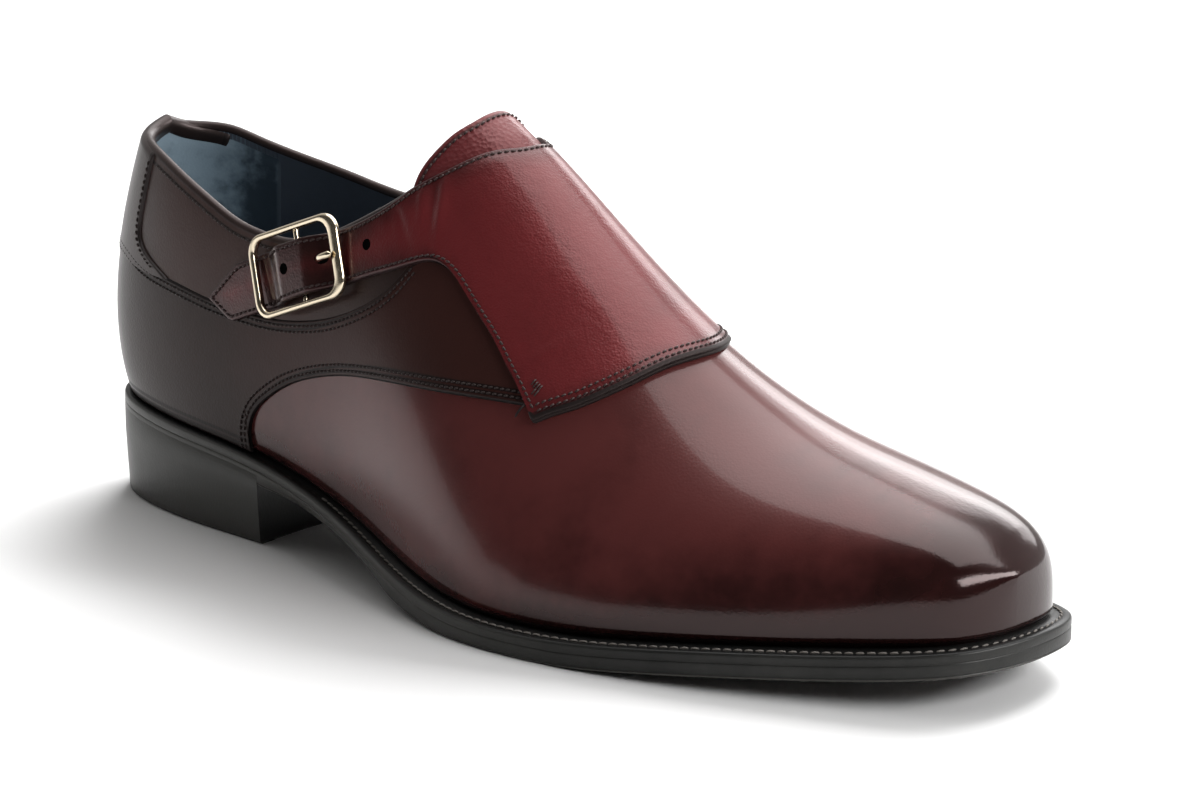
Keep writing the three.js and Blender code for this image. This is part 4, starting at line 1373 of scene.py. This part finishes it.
def sewn(name, line, span, inset, height, material, kind="plain", slot="upper_leather"):
    # row of stitches beside a line, at a distance to the left of its run
    params = shifted(line(np.linspace(*span, 500)), inset)
    places = skin(params, height(params) if callable(height) else height)
    length = run(places)
    where = evenly(length, seams[kind]["pitch"])
    along = unit(pick(where, length, np.gradient(places, axis=0)))
    normal = unit(pick(where, length, outOf(params)))
    stitchBars(name, pick(where, length, places), along, normal, material, slot,
               *[seams[kind][key] for key in ("long", "thick", "lift")])


def makeStitches(top, low):
    # pale thread where it shows on the flap and the tongue, dark thread on the other seams
    sewn("stitch_flap_top_0", top, *seams["flapTop"], flapOffset, threadPale, "flap")
    sewn("stitch_flap_low", low, *seams["flapLow"], flapOffset, threadPale, "flap")
    for k, inset in enumerate(seams["flapRows"]):
        sewn(f"stitch_front_{k}", low, seams["front"], inset, flapOffset, threadPale, "flap")
        sewn(f"stitch_inner_low_{k}", low, seams["innerLow"], inset, flapOffset, threadDark)
        sewn(f"stitch_inner_seam_{k}", top, seams["innerSeam"], -inset, flapOffset, threadDark)
    lift = layers["quarter"]
    seam, edge = track(onSide(outer, "seam", lift)), track(onSide(outer, "vampEdge", lift))
    for k, inset in enumerate(seams["quarterRows"]):
        sewn(f"stitch_seam_{k}", seam, (0.0, 1), -inset, lift, threadDark)
        sewn(f"stitch_quarter_{k}", edge, (0.0, 1), inset, lift, threadDark)
    span, inset = seams["strip"]
    for side, name in ((outer, "outer"), (inner, "inner")):
        line = track(toplineParams(side, 200))
        sewn(f"stitch_topline_{name}", line, *seams["topline"][side], layers["collar"], threadDark)
        sewn(f"stitch_strip_{name}", stripFront(side, 7), span, -inset * side, layers["strip"],
             threadDark)
    sewn("stitch_tongue", tongueTrack(), *seams["tongue"], seams["tongueLift"], threadPale, "flap",
         "tongue_leather")


# Front edge of the flap and its backing: two bulges with a groove between, out and share of height
frontEdge = {
    "profile": np.array([
        [-0.9, 0.98], [-0.1, 0.99], [0.22, 0.93], [0.34, 0.8], [0.26, 0.66], [-0.02, 0.58],
        [0.34, 0.5], [0.55, 0.36], [0.52, 0.18], [0.25, 0.04], [-0.6, 0]])[..., None, None],
    "span": (0.366, 0.628, 360), "over": 0.05, "taper": 0.012, "burn": 0.3, "edge": 2,
}


def makeFrontEdge(low):
    # the profile carried along the front, drawn in at both ends
    params = low(np.linspace(*frontEdge["span"]))
    places, normal = onForm(params), outOf(params)
    out = -np.cross(normal, unit(np.gradient(places, axis=0)))
    tall = (flapOffset(params) + frontEdge["over"])[:, None]
    s = np.linspace(0, 1, len(params))
    taper = np.minimum(*[rounded(end, frontEdge["taper"]) for end in (s, 1 - s)])[:, None]
    points = (places + out * (frontEdge["profile"][:, 0] * taper)
              + normal * (frontEdge["profile"][:, 1] * tall))
    makePiece("flap_front_edge", points, edgePaint, out + 0.4 * normal,
              frontEdge["burn"], frontEdge["edge"])


# Welt stitches round the forefoot, locked, in the welt's groove
weltStitch = {"from": -52, "inset": 2.5, "sunk": 0.02, "pitch": 2.7, "bar": (2.2, 0.62, 0.12)}


def makeWeltStitch():
    # forward along the outer side and back along the inner one, evenly
    angle = np.linspace(angleOfX(weltStitch["from"]), math.pi, 500)
    legs = []
    for side, way in ((-1, angle), (1, angle[::-1][1:])):
        x, y = soleEdge(way, side, weltStitch["inset"])
        legs.append(np.stack([x, y, rimHeight(x) - weltStitch["sunk"]], -1))
    places = np.concatenate(legs)
    length = run(places)
    where = evenly(length, weltStitch["pitch"])
    centre = pick(where, length, places)
    along = unit(pick(where, length, np.gradient(places, axis=0)))
    stitchBars("stitch_welt", centre, along, centre * 0 + [0, 0, 1], threadWelt, "welt_leather",
               *weltStitch["bar"])


# Bar tack: close stitches across the outer corner of the flap, and the thread's loose end
barTack = {
    "rows": [(24.2, 60.4), (24.9, 59.9), (25.6, 59.5), (26.3, 59.2), (25.2, 58.5), (26.0, 58.1)],
    "way": [0.75, 0, -0.65],
    "bar": (2.0, 0.55, 0.12),
    "end": [(24.4, 56.2), (23.0, 52.6)],
    "height": 1.6, "arch": 0.9, "girth": 0.28, "burn": 0.5,
}


def makeBarTack():
    # the loose end is a tube on an arched line, drawn in at its tip
    params = findOn(outer, barTack["rows"])
    normal = outOf(params)
    stitchBars("bar_tack", skin(params, flapOffset(params)), unit(np.cross(normal, barTack["way"])),
               normal, threadPale, "strap_leather", *barTack["bar"])
    start, end = findOn(outer, barTack["end"])
    share = np.linspace(0, 1, 14)
    line = start + (end - start) * share[:, None]
    middle = skin(line, barTack["height"] + barTack["arch"] * np.sin(share * 2.6))
    normal = outOf(line)
    side = unit(np.cross(normal, unit(np.gradient(middle, axis=0))))
    turn = circle(8)[:, None, None]
    girth = (barTack["girth"] * np.minimum(1, 8 * (1.02 - share)))[:, None]
    points = middle + girth * (np.cos(turn) * side + np.sin(turn) * normal)
    makePiece("thread_end", points, edgePaint, points - middle, barTack["burn"],
              closed=(True, False))


makeStitches(flapTop, flapLow)
makeBarTack()
makeFrontEdge(flapLow)
makeWeltStitch()
print("stitches made")

standsFor = {"vamp": "upper", "flap": "monk_strap", "tongue": "tongue", "sock": "insole",
             "sole_edge": "welt", "tread": "outsole", "heel_wall": "heel"}
for piece, node in standsFor.items():
    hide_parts(node)

camera = {
    "azimuth": 41.88,
    "elevation": 14.93,
    "distance": 1250,
    "target": (54.6, 0, 53.5),
    "aside": 1.34,  # degrees that the view turns from the target to the middle of the shoe
    "above": 0.12,
    "lens": 155.0,
}


def makeCamera():
    # eye at the distance from the target along azimuth and elevation, turned a little aside
    azimuth, elevation = math.radians(camera["azimuth"]), math.radians(camera["elevation"])
    back = np.array([math.sin(azimuth) * math.cos(elevation), -math.cos(azimuth) * math.cos(elevation),
                     math.sin(elevation)])
    target = (np.array(camera["target"]) + last["shift"]) * 0.001
    data = bpy.data.cameras.new("camera")
    data.lens = camera["lens"]
    data.sensor_width = 36
    data.clip_start = 0.05
    eye = bpy.data.objects.new("camera", data)
    eye.location = target + back * camera["distance"] * 0.001
    eye.rotation_euler = (math.pi / 2 - elevation + math.radians(camera["above"]), 0,
                          azimuth + math.radians(camera["aside"]))
    bpy.context.scene.collection.objects.link(eye)
    bpy.context.scene.camera = eye


def makeFloor():
    # white paper, a square about the origin
    mesh = bpy.data.meshes.new("floor")
    half = 6.0
    corners = [(-half, -half, 0), (half, -half, 0), (half, half, 0), (-half, half, 0)]
    mesh.from_pydata(corners, [], [(0, 1, 2, 3)])
    paper = bpy.data.materials.new("floor_paper")
    paper.use_nodes = True
    shader = paper.node_tree.nodes["Principled BSDF"]
    shader.inputs["Base Color"].default_value = (0.92, 0.92, 0.92, 1)
    shader.inputs["Roughness"].default_value = 0.9
    mesh.materials.append(paper)
    floor = bpy.data.objects.new("floor", mesh)
    bpy.context.scene.collection.objects.link(floor)


studio = {
    "backdrop": (-0.5, 0.8, 0.33),
    "fade": (-0.1, 0.6),
    "glow": (0.06, 0.6),
    "lamps": {
        # place, aimed at, size, power, what it is for
        "ceiling": ((0.0, 0.5, 1.3), (0.0, 0.5, 0), (1.3, 1.7), 25, "gloss"),
        "fill": ((0.0, 0.5, 1.3), (0.0, 0.5, 0), (1.3, 1.7), 16, "colour"),
        "key": ((-0.8, 2.1, 2.7), (0.0, 0.0, 0.0), (2.0, 1.4), 138, "colour"),
        "back": ((-0.5, 1.9, 0.95), (0.0, 0.0, 0.05), (1.7, 0.6), 12),
        "far_floor": ((-1.2, 2.4, 1.6), (-1.1, 2.2, 0), (2.2, 1.4), 25),
        "toe_light": ((1.5, 0.3, 0.9), (0.12, 0, 0.03), (2.3, 0.5), 42, "gloss"),
        "front": ((1.5, 0.2, 0.9), (0.12, 0, 0.03), (1.2, 0.5), 20, "colour"),
    },
}


def softbox(name, place, target, size, power, use="both"):
    # area lamp at a place, turned to its target by the angles of the line between them
    data = bpy.data.lights.new(name, "AREA")
    data.shape = "RECTANGLE"
    data.size, data.size_y = size
    data.energy = power
    lamp = bpy.data.objects.new(name, data)
    lamp.visible_glossy = use != "colour"
    lamp.visible_diffuse = use != "gloss"
    lamp.location = place
    away = np.array(place) - np.array(target)
    length = np.linalg.norm(away)
    lamp.rotation_euler = (math.acos(away[2] / length), 0, math.atan2(away[1], away[0]) + math.pi / 2)
    bpy.context.scene.collection.objects.link(lamp)


def makeLight():
    # pale backdrop behind and to the left, dark room on the camera's side
    world = bpy.data.worlds.new("studio")
    world.use_nodes = True
    tree = world.node_tree
    facing = tree.nodes.new("ShaderNodeVectorMath")
    facing.operation = "DOT_PRODUCT"
    fill(tree, facing.inputs, {0: tree.nodes.new("ShaderNodeTexCoord").outputs["Generated"],
                               1: studio["backdrop"]})
    glow = rangeNode(tree, facing.outputs["Value"], *studio["fade"], *studio["glow"])
    fill(tree, tree.nodes["Background"].inputs, {"Strength": glow, "Color": (1, 0.985, 0.97, 1)})
    bpy.context.scene.world = world
    for name, lamp in studio["lamps"].items():
        softbox(name, *lamp)


makeCamera()
makeFloor()
makeLight()
bpy.context.scene.view_settings.view_transform = "Standard"  # white paper stays white

print("scene made")
